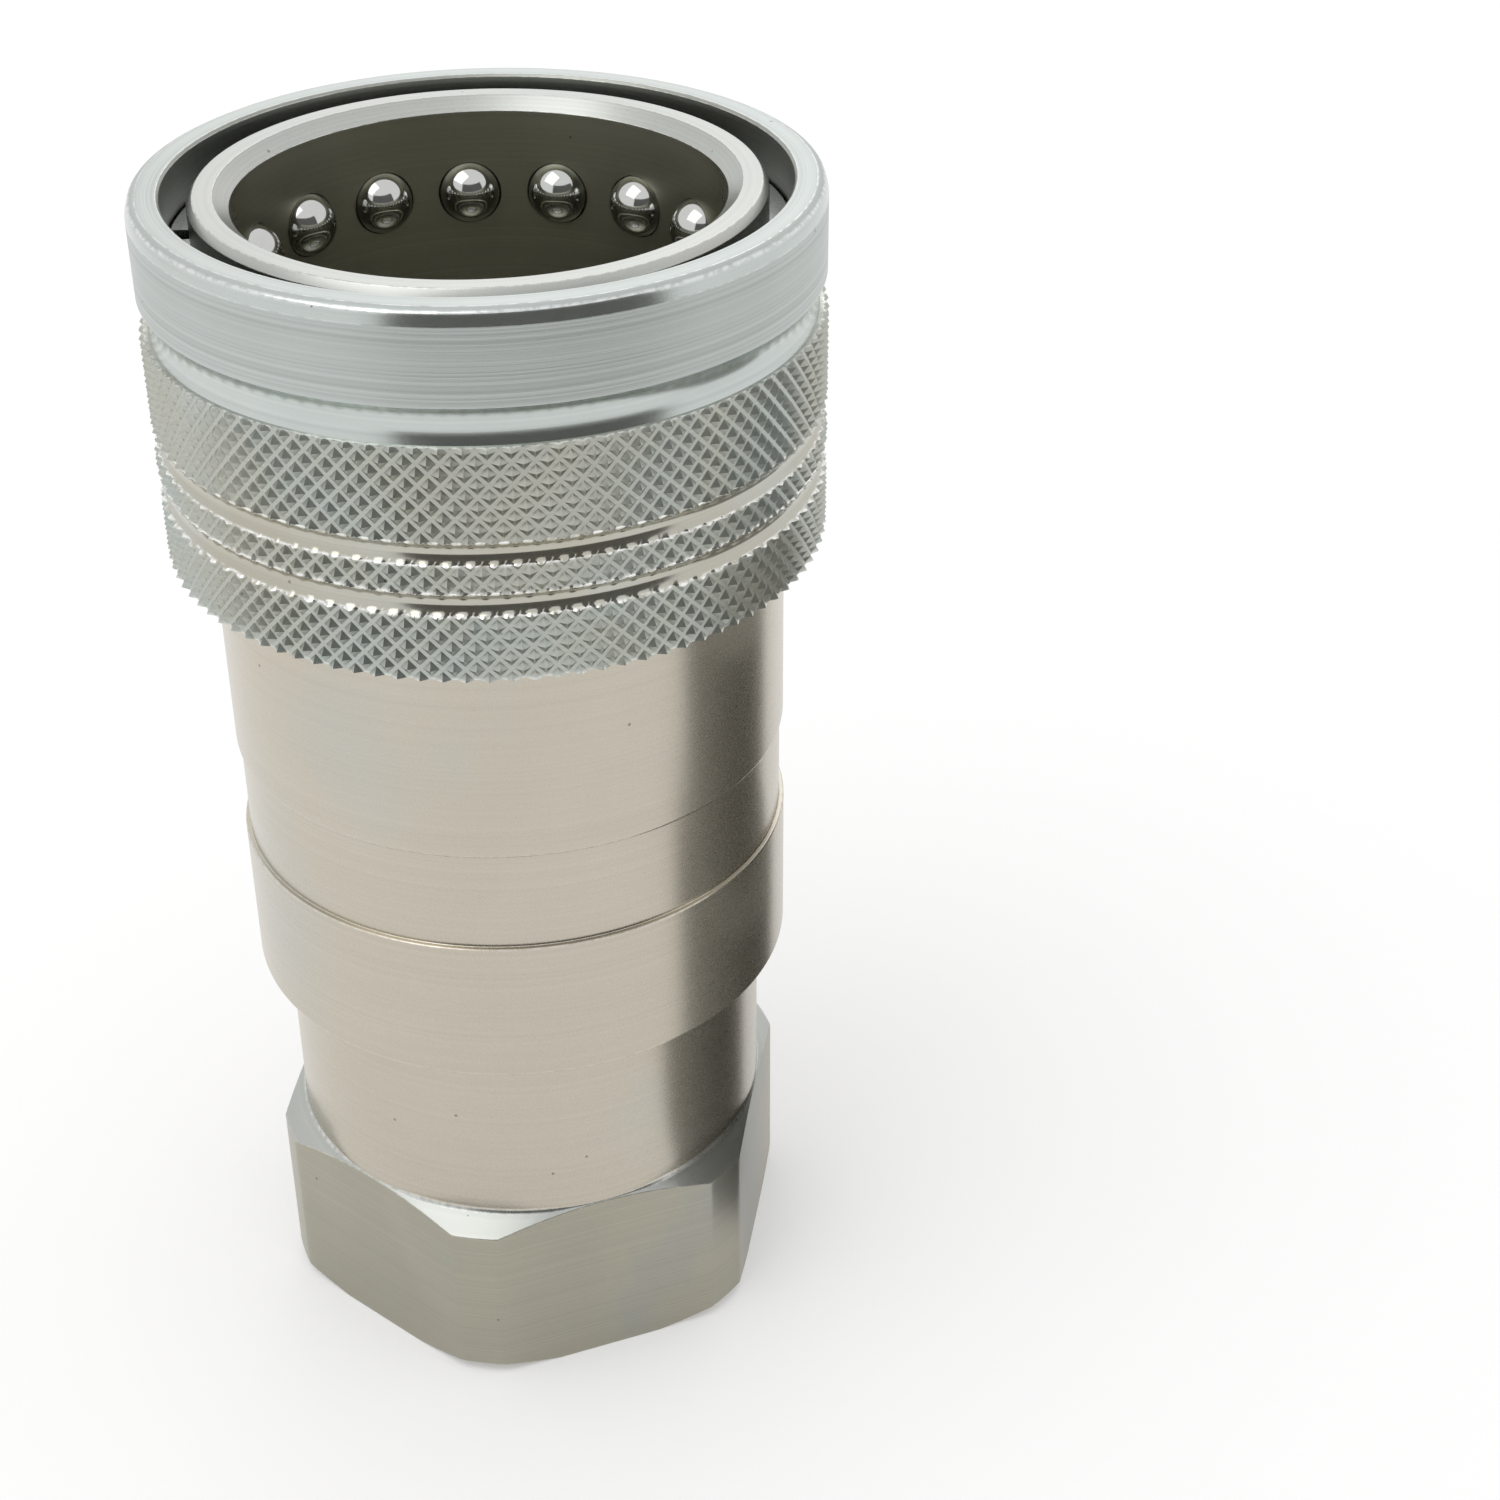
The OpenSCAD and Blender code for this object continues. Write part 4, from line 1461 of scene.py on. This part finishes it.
@dataclass
class Studio:
    """A pale floor, soft lamps, and dark shapes seen only in reflections, which paint dark reflections in the metal.
    """

    floor_size: float = 6.0
    floor_glow: float = 0.2
    floor_albedo: float = 0.8
    room_light: float = 0.9
    neighbour_way: float = math.radians(-26.8)
    neighbour_distance: float = 0.0495
    neighbour_r: float = 0.0195
    neighbour_h: float = 0.058

    def build(self) -> None:
        """Builds the world, the floor, the lamps and the reflected shapes."""
        self._world()
        self._floor()
        self._lamp("back", (0.25, 0.66, 0.52), 0.4, 0.8)
        self._lamp("key", (-0.35, -0.1, 0.7), 0.5, 1.2)
        self._neighbour()
        self._opening()

    def _world(self) -> None:
        """A white room for the camera and for reflections, and a softer one for diffuse light."""
        world = bpy.data.worlds.new("room")
        bpy.context.scene.world = world
        world.use_nodes = True
        graph = Graph(world.node_tree)
        background = world.node_tree.nodes["Background"]
        background.inputs["Color"].default_value = (1.0, 1.0, 1.0, 1.0)
        path = graph.node("ShaderNodeLightPath")
        seen = graph.math("MAXIMUM", path.outputs["Is Camera Ray"], path.outputs["Is Glossy Ray"])
        seen = graph.math("MAXIMUM", seen, path.outputs["Is Transmission Ray"])
        strength = graph.math("MULTIPLY_ADD", seen, 1.0 - self.room_light, self.room_light)
        graph.feed(background.inputs["Strength"], strength)

    def _floor(self) -> None:
        """A pale floor that keeps the coupling's shadow and is white in the open."""
        half = self.floor_size / 2
        mesh = bpy.data.meshes.new("floor")
        corners = [(-half, -half, 0), (half, -half, 0), (half, half, 0), (-half, half, 0)]
        mesh.from_pydata(corners, [], [(0, 1, 2, 3)])
        floor = bpy.data.objects.new("floor", mesh)
        bpy.context.scene.collection.objects.link(floor)
        material = bpy.data.materials.new("floor_white")
        material.use_nodes = True
        graph = Graph(material.node_tree)
        material.node_tree.nodes.remove(material.node_tree.nodes["Principled BSDF"])
        paint = graph.node("ShaderNodeBsdfDiffuse")
        paint.inputs["Color"].default_value = (self.floor_albedo,) * 3 + (1.0,)
        glow = graph.node("ShaderNodeEmission")
        path = graph.node("ShaderNodeLightPath")
        seen = graph.math("MAXIMUM", path.outputs["Is Camera Ray"], path.outputs["Is Glossy Ray"])
        seen = graph.math("MAXIMUM", seen, path.outputs["Is Transmission Ray"])
        graph.feed(glow.inputs["Strength"], graph.math("MULTIPLY", seen, self.floor_glow))
        both = graph.node("ShaderNodeAddShader")
        material.node_tree.links.new(paint.outputs[0], both.inputs[0])
        material.node_tree.links.new(glow.outputs[0], both.inputs[1])
        output = material.node_tree.nodes["Material Output"]
        material.node_tree.links.new(both.outputs[0], output.inputs["Surface"])
        mesh.materials.append(material)

    def _lamp(self, name: str, place: tuple[float, float, float], size: float, brightness: float) -> None:
        """Adds a square soft lamp of a brightness that looks at the coupling."""
        data = bpy.data.lights.new(name, "AREA")
        data.size = size
        data.energy = brightness * math.pi * size**2
        lamp = bpy.data.objects.new(name, data)
        lamp.location = place
        lamp.rotation_euler = (Vector((0, 0, 0.05)) - Vector(place)).to_track_quat("-Z", "Y").to_euler()
        bpy.context.scene.collection.objects.link(lamp)

    def _dark(self, name: str, shade: float) -> bpy.types.Material:
        """A plain dark material."""
        material = bpy.data.materials.new(name)
        material.use_nodes = True
        shader = material.node_tree.nodes["Principled BSDF"]
        shader.inputs["Base Color"].default_value = (shade, shade, shade * 0.94, 1.0)
        shader.inputs["Roughness"].default_value = 0.6
        return material

    def _reflected(self, piece: bpy.types.Object) -> None:
        """Lets only reflections meet a studio piece."""
        piece.visible_camera = False
        piece.visible_diffuse = False
        piece.visible_shadow = False
        piece.visible_transmission = False

    def _neighbour(self) -> None:
        """A dark round shape beside the coupling, where its other half stands; seen only in reflections, it is a
        painted dark reflection of that half.
        """
        low_r = self.neighbour_r * 1.08
        skin = turned(
            eased([
                Corner(0.0, 0.0), Corner(low_r, 0.0), Corner(low_r, self.neighbour_h * 0.55),
                Corner(self.neighbour_r * 0.9, self.neighbour_h * 0.6), Corner(self.neighbour_r * 0.9, self.neighbour_h),
                Corner(0.0, self.neighbour_h),
            ], closed=False),
            64,
        )
        piece = skin.made("reflected_neighbour", [self._dark("neighbour_dark", 0.27)])
        piece.location = polar(self.neighbour_distance, self.neighbour_way, 0.0)
        self._reflected(piece)

    def _opening(self) -> None:
        """A dark card for the opening of the white room, which the camera looks in through; seen only in
        reflections, it is a painted dark reflection.
        """
        skin = Skin()
        distance = 0.3
        rings = []
        for height in (0.02, 0.34):
            ways = [math.radians(-105.1 - 31 + 85 * k / 12) for k in range(13)]
            rings.append(skin.ring([polar(distance, way, height) for way in ways]))
        skin.join(rings[0], rings[1], 0, closed=False)
        self._reflected(skin.made("reflected_opening", [self._dark("opening_dark", 0.12)]))


@dataclass
class Viewpoint:
    """The camera, which looks down at the coupling from the front left."""

    distance: float = 0.18404
    way: float = math.radians(-105.108)
    height: float = 0.16616
    heading: float = math.radians(-21.301)
    pitch: float = math.radians(32.428)
    roll: float = math.radians(-0.134)
    lens: float = 61.8

    def build(self) -> bpy.types.Object:
        """Makes the camera and gives it to the scene."""
        data = bpy.data.cameras.new("camera")
        data.lens = self.lens
        data.sensor_width = 36.0
        data.clip_start = 0.01
        data.clip_end = 20.0
        camera = bpy.data.objects.new("camera", data)
        camera.location = polar(self.distance, self.way, self.height)
        turn = Matrix.Rotation(self.heading, 4, "Z")
        tilt = Matrix.Rotation(math.pi / 2 - self.pitch, 4, "X")
        roll = Matrix.Rotation(self.roll, 4, "Z")
        camera.rotation_euler = (turn @ tilt @ roll).to_euler()
        bpy.context.scene.collection.objects.link(camera)
        bpy.context.scene.camera = camera
        return camera


def main() -> None:
    """Builds the camera, the coupling and the studio."""
    logging.basicConfig(level=logging.INFO, format="%(name)s: %(message)s")
    Viewpoint().build()
    finishes = Finishes.made(Effects.made())
    Sleeve().build(finishes)
    FrontBody().build(finishes)
    Adapter().build(finishes)
    RetainingRing().build(finishes)
    Valve().build(finishes)
    Balls().dress(finishes)
    Spring("sleeve_spring", 0.0218, 0.0016, 5.0, "sleeve_slide", 0.005, 0.0740).build(finishes)
    Spring("valve_spring", 0.0073, 0.0016, 6.5, "valve_slide", 0.007, 0.0390).build(finishes)
    dress_node("valve_guide", finishes.nickel)
    dress_node("joint_seal", finishes.rubber)
    dress_node("valve_seal", finishes.rubber)
    dress_node("plug_seal", finishes.rubber)
    dress_node("backup_ring", finishes.plastic)
    Studio().build()
    bpy.context.scene.view_settings.view_transform = "Standard"


if __name__ == "__main__":
    main()
